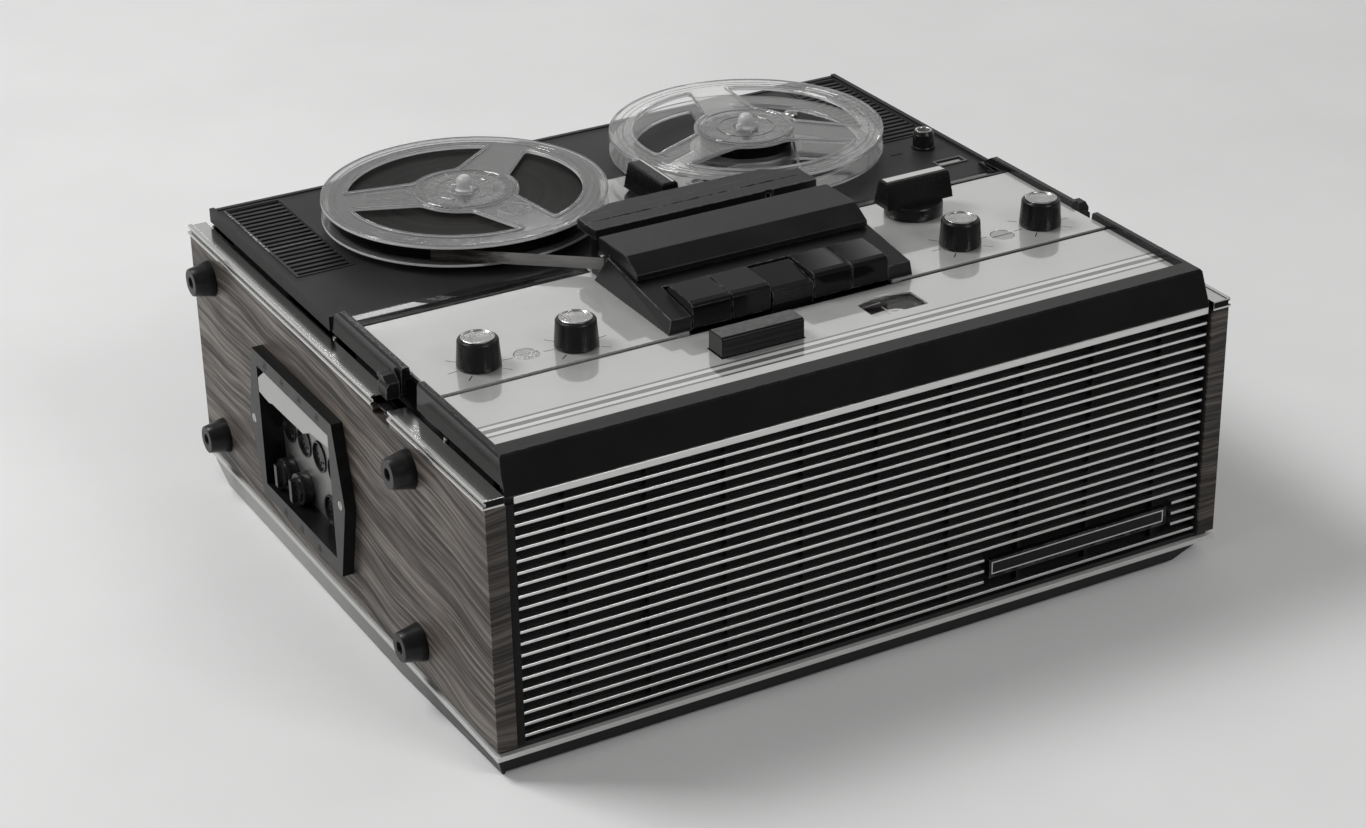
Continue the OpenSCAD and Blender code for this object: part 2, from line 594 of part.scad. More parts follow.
module head_hood() color("#1c1c1c") {
  x0 = ox + 137.7; x1 = x0 + hood_w; zt3 = zw + 162.3;
  yh0 = -59.8; yh1 = -49; yh2 = -21.4;
  difference() {
    xsec([[yh0, hz(yh0) + 3.9], [yh1, zt3], [yh2, zt3], [yh2, zw + 155], [yt_h(), zw + 155], [yt_h(), zw + 156.6], [yh0 + 0.9, hz(yh0) + 0.5], [yh0, hz(yh0) + 0.9]], x0, x1);
    xsec([[yh0 + 3, hz(yh0) - 2], [yh0 + 3, hz(yh0) + 4.4], [yh1 + 1.4, zt3 - 2.2], [yh2 + 1, zt3 - 2.2], [yh2 + 1, zw + 140], [yh0 + 3, zw + 140]], x0 + 2, x1 - 2);
  }
}
function yt_h() = -32.2;

// ---- keys --------------------------------------------------------------------------------
// one piano key: block, arm and eye on the shaft; drop lowers the front edge
module key(x0, x1, drop = 0) {
  ya = -58; za = zw + 146;
  translate([0, ya, za]) rotate([drop, 0, 0]) translate([0, -ya, -za])
  difference() {
    union() {
      xsec([[-96, zc + 0.7], [-96, zw + 151.6], [-94.9, zw + 152.9], [-92, zw + 153.4], [-72.6, zw + 154.3], [-72, zw + 153.9], [-72, zc + 3.4],
            [-66, zc + 3.4], [-66, zc + 0.7]], x0, x1);
      box(x0 + 4, x1 - 4, -72.1, -58, zc + 2.4, zw + 148.2);
      xcyl(x0 + 4, x1 - 4, ya, za, 3.9);
    }
    xcyl(x0, x1, ya, za, 2.06);
    box(x0 + 2, x1 - 2, -93.4, -74, zc, zw + 150.6);
    box(x0 - 1, x1 + 1, -72, -50, zc - 1, zc + 2.4);
  }
}
kx0 = [-52.7, -31.2, -9.4, 13.7, 35.0];
module key_1() color("#151515") key(kx0[0], kx0[0] + key_w);
module key_2() color("#151515") key(kx0[1], kx0[1] + key_w);
module key_3() color("#151515") key(kx0[2], kx0[2] + key_w + 1.7, 5.2);
module key_4() color("#151515") key(kx0[3], kx0[3] + key_w - 0.1);
module key_5() color("#151515") key(kx0[4], kx0[4] + key_w - 0.8);

module power_key() color("#181818") {
  xsec([[-128.9, zc - 4.5], [-128.9, zc + 8.6], [-127.8, zc + 9.7], [-117.2, zc + 9.7], [-115.9, zc + 8.2], [-115.6, zc - 4.5]], -55.7, -11.8);
}

// ---- knobs -------------------------------------------------------------------------------
module knob(p) {
  x = p[0]; y = p[1]; z = zc + 0.6; r = knob_d / 2;
  difference() {
    union() {
      cone(x, y, z, z + knob_h - 1.2, r, r - 0.9);
      cone(x, y, z + knob_h - 1.2, z + knob_h - 0.4, r - 0.9, r - 1.5);
      cone(x, y, z + knob_h - 0.4, z + knob_h + 0.3, 8.2, 7.8);
    }
    cyl(x, y, z - 1, z + 2, r - 2.2);
    cyl(x, y, z + knob_h - 0.1, z + knob_h + 1, 6.9);
  }
  cyl(x, y, zc - 14, z + 3, 3);
}
module knob_1() color("#141414") knob(kp[0]);
module knob_2() color("#141414") knob(kp[1]);
module knob_3() color("#141414") knob(kp[2]);
module knob_4() color("#141414") knob(kp[3]);

module bar_knob(x, y, z, a) {
  translate([x, y, z]) rotate([0, 0, a]) difference() {
    union() {
      cylinder(h = 5.6, r = selector_d / 2 - 0.5);
      translate([0, 0, 5.6]) cylinder(h = 1.0, r1 = selector_d / 2 - 0.5, r2 = selector_d / 2 - 1.2);
      translate([0, 7, 0]) rotate([90, 0, 0]) linear_extrude(height = 14)
        polygon([[-15.4, 6.2], [-19.4, 6.2], [-19.4, 8.4], [-18.3, 19.2], [-17.4, 19.8], [17.4, 19.8], [18.3, 19.2], [19.4, 8.4], [19.4, 6.2], [15.4, 6.2]]);
      translate([0, 0, -13]) cylinder(h = 14, r = 3);
    }
    // the bar narrows towards its top
    for (s = [-1, 1]) mirror([0, s > 0 ? 1 : 0, 0]) translate([-25, 0, 0]) rotate([90, 0, 90])
      linear_extrude(height = 50) polygon([[6.6, 6.6], [4.4, 19], [3.6, 19.9], [12, 19.9], [12, 6.6]]);
  }
}
module selector() color("#121212") bar_knob(sel[0], sel[1], zc + 0.6, 0);
module speed_knob() color("#121212") bar_knob(sp[0], sp[1], zd + 0.8, 90);
module reset_knob() color("#181818") {
  cone(172, 50.4, zd + 0.5, zd + 1.5, 6.5, 6.0);
  cyl(172, 50.4, zd + 1.5, zd + 8.2, 5.8);
  cone(172, 50.4, zd + 8.2, zd + 10, 5.6, 4.6);
  cyl(172, 50.4, zd - 8, zd + 0.5, 2);
}

module pots() color("dimgray") {
  for (p = [kp[0], kp[1], kp[2], kp[3], sel]) difference() {
    cyl(p[0], p[1], zc - 16.5, zc - 3.6, 8.5);
    cyl(p[0], p[1], zc - 14.6, zc, 3.06);
  }
  difference() {
    cyl(sp[0], sp[1], zd - 15.5, zd - 3, 8.5);
    cyl(sp[0], sp[1], zd - 13.4, zd, 3.06);
  }
  difference() {
    cyl(172, 50.4, zd - 10, zd - 3, 5);
    cyl(172, 50.4, zd - 8.6, zd, 2.06);
  }
}

// ---- meter and counter -------------------------------------------------------------------
module meter_case() color("white") {
  difference() {
    box(26, 60.2, -134.5, -105.6, zc - 16, zc - 3.6);
    box(27.6, 58.6, -133, -107, zc - 8.6, zc - 3);
  }
  cyl(43, -129.6, zc - 8.6, zc - 7.2, 1.6);
}
module meter_window() color([0.9, 0.9, 0.9, 0.4]) {
  box(27.7, 58.5, -127.4, -107.1, zc - 3.6, zc - 1.6);
}
module meter_needle() color("black") {
  difference() {
    cyl(43, -129.6, zc - 7.0, zc - 5.9, 2.2);
    cyl(43, -129.6, zc - 8, zc - 6.6, 0.8);
  }
  box(42.7, 43.3, -128.6, -109.4, zc - 6.7, zc - 6.2);
}
module counter_frame() color("gray") {
  difference() {
    box(161.5, 183.5, 15, 36, zd - 22, zd - 3);
    box(163, 182, 16.5, 34.5, zd - 20.4, zd - 2);
    xcyl(160, 185, 25.5, zd - 11.6, 1.25);
  }
  difference() {
    box(163.6, 181.4, 21.4, 29.6, zd, zd + 0.5);
    box(165, 180, 22.8, 28.2, zd - 1, zd + 1);
  }
}
module counter_wheels() color("white") {
  xcyl(161.6, 183.4, 25.5, zd - 11.6, 1.2);
  for (x = [165.4, 170.3, 175.2]) xcyl(x, x + 4.4, 25.5, zd - 11.6, 8.2);
}

// ---- reels and drive ---------------------------------------------------------------------
module reel_windows(a0) {
  // three sector windows with sides that spread away from the hub
  for (k = [0:2]) rotate([0, 0, a0 + 60 + 120 * k])
    intersection() {
      difference() { circle(r = 60.4); circle(r = 28); }
      polygon([[18.3, 0], [18.3 + 33.0, 73], [75, 73], [75, -73], [18.3 + 33.0, -73]]);
    }
}
module flange(a0, z0, z1, hub) {
  translate([0, 0, z0]) linear_extrude(height = z1 - z0) difference() {
    circle(r = rr);
    circle(r = hub);
    reel_windows(a0);
  }
}
module reel(x, a0) {
  translate([x, ys, 0]) {
    flange(a0, z_fl, z_fl + 1.6, 20);
    flange(a0, z_fu, z_fu + 1.6, 20);
    difference() {
      union() {
        translate([0, 0, z_fl]) cylinder(h = z_fu + 1.6 - z_fl, r = 21);
        translate([0, 0, z_fu + 1.6]) cylinder(h = 0.6, r = 25.4);
      }
      translate([0, 0, z_fl - 1]) cylinder(h = 20, r = 4.2);
      // three drive slots
      for (k = [0:2]) rotate([0, 0, a0 + 120 * k]) translate([0, -1.2, z_fl - 1]) cube([7, 2.4, 20]);
      // hollow hub
      difference() {
        translate([0, 0, z_fl - 1]) cylinder(h = z_fu - z_fl - 0.6, r = 18);
        translate([0, 0, z_fl - 2]) cylinder(h = 20, r = 9);
      }
    }
  }
}
module supply_reel() color([0.8, 0.8, 0.8, 0.5]) reel(xs, 43);
module takeup_reel() color([0.8, 0.8, 0.8, 0.5]) reel(xt, 80);

module pack(x, r) {
  difference() { cyl(x, ys, tape_z0, tape_z0 + tape_w, r); cyl(x, ys, tape_z0 - 1, tape_z0 + tape_w + 1, 21); }
}
module supply_tape() color("#3a2c24") pack(xs, pack_supply_r);
module takeup_tape() color("#3a2c24") pack(xt, pack_takeup_r);

module table(x, a0) {
  cyl(x, ys, zd + 1, zd + 3.6, 30);
  cyl(x, ys, zd - 16, zd + 1, 5.5);
  cyl(x, ys, zd + 3.6, z_fu + 3, 4);
  cone(x, ys, z_fu + 3, z_fu + 9, 4, 2.6);
  for (k = [0:2]) translate([x, ys, 0]) rotate([0, 0, a0 + 120 * k]) box(0, 6.2, -0.8, 0.8, zd + 3.6, z_fu + 1);
}
module supply_table() color("gray") table(xs, 43);
module takeup_table() color("gray") table(xt, 80);

module chassis() color("lightsteelblue") {
  difference() {
    box(-183, 183, -150, 158, chz, chz + 2.5);
    for (x = [xs, xt]) cyl(x, ys, chz - 1, chz + 4, 8);
    cyl(38, y_tape + 2.3, chz - 1, chz + 4, 2.06);
    box(113, 187, 10, 60, chz - 1, chz + 4);
    for (p = kp) cyl(p[0], p[1], chz - 1, chz + 4, 9.5);
    cyl(sel[0], sel[1], chz - 1, chz + 4, 9.5);
    cyl(sp[0], sp[1], chz - 1, chz + 4, 9.5);
    box(20, 64, -140, -100, chz - 1, chz + 4);
    cyl(10, 120, chz - 1, chz + 4, 6);
    box(-190, -160, 0, 84, chz - 1, chz + 4);
  }
  // spindle bearings
  for (x = [xs, xt]) difference() {
    cyl(x, ys, chz, zd - 4, 8);
    cyl(x, ys, zd - 16.4, zd, 5.56);
  }
  // capstan bearing tube
  difference() { cyl(38, y_tape + 2.3, chz - 8, chz, 6); cyl(38, y_tape + 2.3, chz - 9, chz + 1, 2.06); }
  // legs down to the base
  for (x = [-172, 160], y = [-130, 130]) cyl(x, y, 4, chz, 4);
}

module capstan_flywheel() color("silver") {
  cyl(38, y_tape + 2.3, zw + 96, zw + 108, 38);
  cyl(38, y_tape + 2.3, zw + 108, zw + 158, 2);
}
module motor() color("gray") {
  cyl(10, 120, 40, 104, 30);
  cyl(10, 120, 103, 121, 2.5);
  for (a = [0, 90, 180]) cyl(10 + 24 * cos(a), 120 + 24 * sin(a), 104, chz, 2.5);
}
module motor_pulley() color("goldenrod") {
  difference() { cyl(10, 120, 106, 123.5, 8); cyl(10, 120, 105, 121.4, 2.56); }
}
module belt_loop(r) {
  hull() { translate([10, 120]) circle(r = 8 + r); translate([38, y_tape + 2.3]) circle(r = 38 + r); }
}
module drive_belt() color("black") {
  translate([0, 0, 112]) linear_extrude(height = 5) difference() { belt_loop(1.4); belt_loop(0.35); }
}
module electronics() color("darkgreen") {
  box(-165, -40, -120, -20, 46, 47.6);
  for (x = [-150:18:-60], y = [-108, -74, -40]) cyl(x, y, 47.6, 60, 4);
  for (x = [-161, -44], y = [-116, -24]) cyl(x, y, 4, 46, 3);
  // transformer: core and coil
  box(105, 165, 60, 110, 4, 14);
  box(105, 165, 62, 108, 14, 66);
  box(111, 159, 54, 116, 20, 60);
}

side_panel_left();
side_panel_right();
trims();
handle();
base_pan();
feet();
rear_cover();
grille_frame();
grille_slats();
badge_plate();
loudspeakers();
connector_bezel();
connector_plate();
connector_sockets();
dummy_plugs();
connector_bar();
mains_inlet();
deck_plate();
bezel();
panel_rear();
panel_front();
panel_screws();
lid_latches();
head_cover_rear();
key_housing();
head_block();
pinch_roller();
tape_strand();
chassis();
motor();
motor_pulley();
drive_belt();
electronics();
pots();
meter_case();
meter_window();
meter_needle();
counter_frame();
counter_wheels();
head_hood();
key_1();
key_2();
key_3();
key_4();
key_5();
power_key();
knob_1();
knob_2();
knob_3();
knob_4();
selector();
speed_knob();
reset_knob();
supply_table();
takeup_table();
supply_reel();
takeup_reel();
supply_tape();
takeup_tape();
capstan_flywheel();
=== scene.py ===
import bpy
import bmesh
import math
import random
from mathutils import Vector, Matrix


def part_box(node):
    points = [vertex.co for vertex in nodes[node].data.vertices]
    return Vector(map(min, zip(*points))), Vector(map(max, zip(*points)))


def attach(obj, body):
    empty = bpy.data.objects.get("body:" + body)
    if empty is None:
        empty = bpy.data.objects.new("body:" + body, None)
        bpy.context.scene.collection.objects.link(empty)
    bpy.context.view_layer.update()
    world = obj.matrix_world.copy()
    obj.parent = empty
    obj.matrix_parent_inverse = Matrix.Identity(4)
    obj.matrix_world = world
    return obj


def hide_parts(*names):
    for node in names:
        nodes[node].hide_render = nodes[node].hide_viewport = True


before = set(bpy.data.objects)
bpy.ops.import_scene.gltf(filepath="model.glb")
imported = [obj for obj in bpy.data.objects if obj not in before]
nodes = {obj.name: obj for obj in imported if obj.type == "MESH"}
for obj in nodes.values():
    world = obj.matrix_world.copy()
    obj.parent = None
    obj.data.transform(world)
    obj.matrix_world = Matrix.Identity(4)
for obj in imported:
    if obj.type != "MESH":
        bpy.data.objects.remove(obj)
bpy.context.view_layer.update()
MM = 0.001

# ------------------------------------------------------------------ camera, floor and light
scene = bpy.context.scene
cam_data = bpy.data.cameras.new("camera")
cam_data.sensor_fit = "HORIZONTAL"
cam_data.sensor_width = 36.0
cam_data.lens = 36.0 * 2947.7626 / 1366.0
cam_data.clip_start = 0.05
cam_data.clip_end = 60.0
cam = bpy.data.objects.new("camera", cam_data)
scene.collection.objects.link(cam)
right = Vector((0.87252664, -0.48824147, -0.01781957))
up = Vector((0.23315848, 0.38406676, 0.89338113))
back = Vector((-0.42934181, -0.78365362, 0.44894611))
rot = Matrix((right, up, back)).transposed().to_4x4()
cam.matrix_world = Matrix.Translation((-0.65585236, -1.18561046, 0.73627533)) @ rot
scene.camera = cam

scene.view_settings.view_transform = "Standard"
scene.view_settings.look = "None"
scene.view_settings.exposure = 0.0

WALL, DIM = 0.64, 0.21
world = bpy.data.worlds.new("studio")
scene.world = world
world.use_nodes = True
wn = world.node_tree
wn.nodes.clear()
w_out = wn.nodes.new("ShaderNodeOutputWorld")
w_bg = wn.nodes.new("ShaderNodeBackground")
wn.links.new(w_bg.outputs[0], w_out.inputs[0])


def wnode(kind, **values):
    n = wn.nodes.new(kind)
    for k, v in values.items():
        if k in ("operation", "interpolation_type"):
            setattr(n, k, v)
        else:
            n.inputs[int(k[1:]) if k[0] == "i" and k[1:].isdigit() else k].default_value = v
    return n


# studio surround: a pale wall behind and to the right of the part, dim round the front and overhead
w_tc = wn.nodes.new("ShaderNodeTexCoord")
w_xyz = wn.nodes.new("ShaderNodeSeparateXYZ")
wn.links.new(w_tc.outputs["Generated"], w_xyz.inputs[0])
w_ax = wnode("ShaderNodeMath", operation="MULTIPLY", i1=0.48)
w_ay = wnode("ShaderNodeMath", operation="MULTIPLY_ADD", i1=0.877)
wn.links.new(w_xyz.outputs[0], w_ax.inputs[0])
wn.links.new(w_xyz.outputs[1], w_ay.inputs[0])
wn.links.new(w_ax.outputs[0], w_ay.inputs[2])
w_side = wn.nodes.new("ShaderNodeMapRange")
w_side.interpolation_type = "SMOOTHSTEP"
w_high = wn.nodes.new("ShaderNodeMapRange")
w_high.interpolation_type = "SMOOTHSTEP"
for n, vals in ((w_side, (-0.25, 0.55, 0.0, 1.0)), (w_high, (0.92, 0.40, 0.0, 1.0))):
    for i, v in zip(("From Min", "From Max", "To Min", "To Max"), vals):
        n.inputs[i].default_value = v
wn.links.new(w_ay.outputs[0], w_side.inputs["Value"])
wn.links.new(w_xyz.outputs[2], w_high.inputs["Value"])
w_mul = wnode("ShaderNodeMath", operation="MULTIPLY")
wn.links.new(w_side.outputs[0], w_mul.inputs[0])
wn.links.new(w_high.outputs[0], w_mul.inputs[1])
w_val = wnode("ShaderNodeMath", operation="MULTIPLY_ADD", i1=WALL - DIM, i2=DIM)
wn.links.new(w_mul.outputs[0], w_val.inputs[0])
wn.links.new(w_val.outputs[0], w_bg.inputs["Strength"])
w_bg.inputs["Color"].default_value = (1.0, 0.995, 0.985, 1)


def area_light(name, loc, target, size_x, size_y, power, shade=(1, 1, 1)):
    d = bpy.data.lights.new(name, "AREA")
    d.shape = "RECTANGLE"
    d.size = size_x
    d.size_y = size_y
    d.energy = power
    d.color = shade
    o = bpy.data.objects.new(name, d)
    scene.collection.objects.link(o)
    o.location = loc
    o.rotation_mode = "QUATERNION"
    o.rotation_quaternion = (Vector(target) - Vector(loc)).to_track_quat("-Z", "Y")
    return o


area_light("key_light", (-1.4, 1.2, 2.4), (0.0, 0.0, 0.1), 1.1, 1.1, 60)
area_light("front_light", (0.80, -2.38, 1.95), (0.0, 0.0, 0.08), 1.10, 0.95, 24)
area_light("side_light", (-2.6, -0.6, 1.2), (0.0, 0.0, 0.08), 1.2, 1.0, 5)
area_light("rim_light", (1.15, 2.75, 0.36), (0.0, 0.0, 0.15), 0.5, 0.15, 1.7)
streak = area_light("streak_light", (0.953, 2.417, 1.328), (-0.116, 0.004, 0.150), 0.36, 0.008, 0.19)
streak.rotation_quaternion = streak.rotation_quaternion @ Matrix.Rotation(math.radians(12), 3, "Z").to_quaternion()


# ------------------------------------------------------------------ material helper
class Mat:
    """A Principled material with short names for the nodes it is built from."""

    def __init__(self, name, **sockets):
        self.m = bpy.data.materials.new(name)
        self.m.use_nodes = True
        self.t = self.m.node_tree
        self.t.nodes.clear()
        self.out = self.t.nodes.new("ShaderNodeOutputMaterial")
        self.b = self.t.nodes.new("ShaderNodeBsdfPrincipled")
        self.t.links.new(self.b.outputs[0], self.out.inputs[0])
        self.tc = None
        self.last_bump = None
        for k, v in sockets.items():
            self.set(k, v)

    NAMES = {"color": "Base Color", "metal": "Metallic", "rough": "Roughness", "ior": "IOR", "alpha": "Alpha", "spec": "Specular IOR Level",
             "trans": "Transmission Weight", "coat": "Coat Weight", "coat_rough": "Coat Roughness", "coat_ior": "Coat IOR", "aniso": "Anisotropic",
             "sss": "Subsurface Weight", "sheen": "Sheen Weight", "normal": "Normal"}

    def sock(self, k):
        return self.b.inputs[self.NAMES[k]]

    def set(self, k, v):
        s = self.sock(k)
        if isinstance(v, (int, float)) and s.type == "RGBA":
            v = (v, v, v, 1)
        if isinstance(v, tuple) and len(v) == 3 and s.type == "RGBA":
            v = (*v, 1)
        s.default_value = v

    def link(self, out, k):
        self.t.links.new(out, self.sock(k))

    def coords(self, scale=(1, 1, 1), rot=(0, 0, 0), loc=(0, 0, 0), kind="Object"):
        if self.tc is None:
            self.tc = self.t.nodes.new("ShaderNodeTexCoord")
        n = self.t.nodes.new("ShaderNodeMapping")
        n.inputs["Scale"].default_value = scale
        n.inputs["Rotation"].default_value = rot
        n.inputs["Location"].default_value = loc
        self.t.links.new(self.tc.outputs[kind], n.inputs["Vector"])
        return n.outputs[0]

    def noise(self, vec, scale=1.0, detail=3.0, rough=0.55, distort=0.0, out="Fac"):
        n = self.t.nodes.new("ShaderNodeTexNoise")
        n.inputs["Scale"].default_value = scale
        n.inputs["Detail"].default_value = detail
        n.inputs["Roughness"].default_value = rough
        n.inputs["Distortion"].default_value = distort
        self.t.links.new(vec, n.inputs["Vector"])
        return n.outputs[out]

    def voronoi(self, vec, scale=1.0, feature="F1", out="Distance", rand=1.0):
        n = self.t.nodes.new("ShaderNodeTexVoronoi")
        n.feature = feature
        n.inputs["Scale"].default_value = scale
        n.inputs["Randomness"].default_value = rand
        self.t.links.new(vec, n.inputs["Vector"])
        return n.outputs[out]

    def ramp(self, fac, stops, interp="LINEAR"):
        n = self.t.nodes.new("ShaderNodeValToRGB")
        n.color_ramp.interpolation = interp
        el = n.color_ramp.elements
        while len(el) > len(stops):
            el.remove(el[-1])
        while len(el) < len(stops):
            el.new(0.5)
        for e, (p, c) in zip(el, stops):
            e.position = p
            e.color = (c, c, c, 1) if isinstance(c, (int, float)) else (*c, 1)
        self.t.links.new(fac, n.inputs["Fac"])
        return n.outputs["Color"]

    def mix(self, fac, a, b, mode="MIX"):
        n = self.t.nodes.new("ShaderNodeMix")
        n.data_type = "RGBA"
        n.blend_type = mode
        n.clamp_factor = True
        for s, v in ((n.inputs["Factor"], fac), (n.inputs[6], a), (n.inputs[7], b)):
            if isinstance(v, (int, float)):
                s.default_value = v if s.type == "VALUE" else (v, v, v, 1)
            elif isinstance(v, tuple):
                s.default_value = (*v, 1)
            else:
                self.t.links.new(v, s)
        return n.outputs[2]

    def math(self, op, a, b=0.0, c=None, clamp=False):
        n = self.t.nodes.new("ShaderNodeMath")
        n.operation = op
        n.use_clamp = clamp
        for i, v in enumerate((a, b, c)):
            if v is None:
                continue
            if isinstance(v, (int, float)):
                n.inputs[i].default_value = v
            else:
                self.t.links.new(v, n.inputs[i])
        return n.outputs[0]

    def range(self, v, a, b, c, d, smooth=False):
        n = self.t.nodes.new("ShaderNodeMapRange")
        if smooth:
            n.interpolation_type = "SMOOTHSTEP"
        for i, x in zip(("From Min", "From Max", "To Min", "To Max"), (a, b, c, d)):
            n.inputs[i].default_value = x
        self.t.links.new(v, n.inputs["Value"])
        return n.outputs[0]

    def sep(self, vec):
        n = self.t.nodes.new("ShaderNodeSeparateXYZ")
        self.t.links.new(vec, n.inputs[0])
        return n.outputs

    def comb(self, x=0.0, y=0.0, z=0.0):
        n = self.t.nodes.new("ShaderNodeCombineXYZ")
        for i, v in enumerate((x, y, z)):
            if isinstance(v, (int, float)):
                n.inputs[i].default_value = v
            else:
                self.t.links.new(v, n.inputs[i])
        return n.outputs[0]

    def bump(self, height, strength=0.3, dist=0.0001):
        n = self.t.nodes.new("ShaderNodeBump")
        n.inputs["Strength"].default_value = strength
        n.inputs["Distance"].default_value = dist
        self.t.links.new(height, n.inputs["Height"])
        if self.last_bump is not None:
            self.t.links.new(self.last_bump, n.inputs["Normal"])
        self.last_bump = n.outputs[0]
        self.link(n.outputs[0], "normal")
        return n.outputs[0]

    def normal(self):
        return self.t.nodes.new("ShaderNodeNewGeometry").outputs["Normal"]

    def edge(self, radius=0.0008, samples=4):
        """1 on corners, 0 on flats: how far a rounded normal turns from the real one."""
        n = self.t.nodes.new("ShaderNodeBevel")
        n.samples = samples
        n.inputs["Radius"].default_value = radius
        g = self.t.nodes.new("ShaderNodeNewGeometry")
        d = self.t.nodes.new("ShaderNodeVectorMath")
        d.operation = "DOT_PRODUCT"
        self.t.links.new(n.outputs[0], d.inputs[0])
        self.t.links.new(g.outputs["Normal"], d.inputs[1])
        return self.range(d.outputs["Value"], 0.98, 0.80, 0.0, 1.0)


def plastic(name, base, rough, grain=0.10, grain_scale=2400.0, mottle=0.25, spec=0.5, speck=0.0, wear_and_edge_highlight=0.0, coat=0.0, coat_ior=1.5, coat_rough=0.08):
    """Moulded or painted surface: fine grain in the bump, uneven gloss, a little dust and, if asked, pale corners:
    rubbed wear on some finishes, a painted highlight on others.
    """
    m = Mat(name, rough=rough, spec=spec, coat=coat, coat_rough=coat_rough, coat_ior=coat_ior)
    c = m.coords()
    big = m.noise(c, 38.0, 4.0, 0.6)
    fine = m.noise(c, 900.0, 3.0, 0.6)
    lo = tuple(x * (1 - mottle) for x in base)
    hi = tuple(x * (1 + mottle) + 0.001 for x in base)
    col = m.ramp(big, [(0.30, lo), (0.72, hi)])
    if speck:
        dust = m.ramp(m.noise(c, 1500.0, 2.0, 0.7), [(0.66, 0.0), (0.76, 1.0)])
        col = m.mix(m.math("MULTIPLY", dust, speck), col, tuple(min(1, x * 1.5 + 0.05) for x in base))
    # pale corners: rubbed wear on the covers, a painted highlight along the edges of the glossy bezel and keys
    if wear_and_edge_highlight:
        e = m.edge(0.0009)
        e = m.math("MULTIPLY", e, m.ramp(m.noise(c, 160.0, 4.0, 0.7), [(0.40, 0.0), (0.62, 1.0)]))
        col = m.mix(m.math("MULTIPLY", e, wear_and_edge_highlight), col, tuple(min(1, x * 2.0 + 0.30) for x in base))
    m.link(col, "color")
    r = m.range(m.math("ADD", m.math("MULTIPLY", big, 0.65), m.math("MULTIPLY", fine, 0.35)), 0.3, 0.7, rough * 0.82, min(1.0, rough * 1.22))
    m.link(r, "rough")
    if grain:
        m.bump(m.noise(c, grain_scale, 2.0, 0.5), grain, 0.00008)
        m.bump(m.noise(c, 60.0, 2.0, 0.5), 0.06, 0.0004)
    return m.m


def metal(name, base, rough, brush=None, brush_depth=0.12, scratch=0.3, spec=0.5, coat=0.0, metallic=1.0, coat_rough=0.06, aniso=0.0, coat_ior=1.5):
    """Metal with a direction of polish: brush is the axis the marks run along (0, 1 or 2), or None for cast metal."""
    m = Mat(name, rough=rough, metal=metallic, spec=spec, coat=coat, coat_rough=coat_rough, aniso=aniso, coat_ior=coat_ior)
    if brush is None:
        c = m.coords()
        lines = m.noise(c, 1400.0, 3.0, 0.6)
    else:
        sc = [2600.0, 2600.0, 2600.0]
        sc[brush] = 26.0
        c = m.coords(tuple(sc))
        lines = m.noise(c, 1.0, 3.0, 0.7)
    o = m.coords()
    big = m.noise(o, 26.0, 4.0, 0.6)
    lo = tuple(x * 0.90 for x in base)
    hi = tuple(min(1, x * 1.06) for x in base)
    col = m.mix(0.45, m.ramp(big, [(0.3, lo), (0.7, hi)]), m.ramp(lines, [(0.3, lo), (0.7, hi)]))
    m.link(col, "color")
    r = m.math("ADD", m.math("MULTIPLY", big, 0.55), m.math("MULTIPLY", lines, 0.45))
    if scratch:
        s1 = m.noise(m.coords((30, 900, 900), (0, 0, 0.5)), 1.0, 2.0, 0.5)
        s = m.ramp(s1, [(0.70, 0.0), (0.74, 1.0)])
        r = m.math("ADD", r, m.math("MULTIPLY", s, scratch))
    m.link(m.range(r, 0.3, 0.7, rough * 0.78, min(1.0, rough * 1.25)), "rough")
    m.bump(lines, brush_depth, 0.00006)
    return m.m


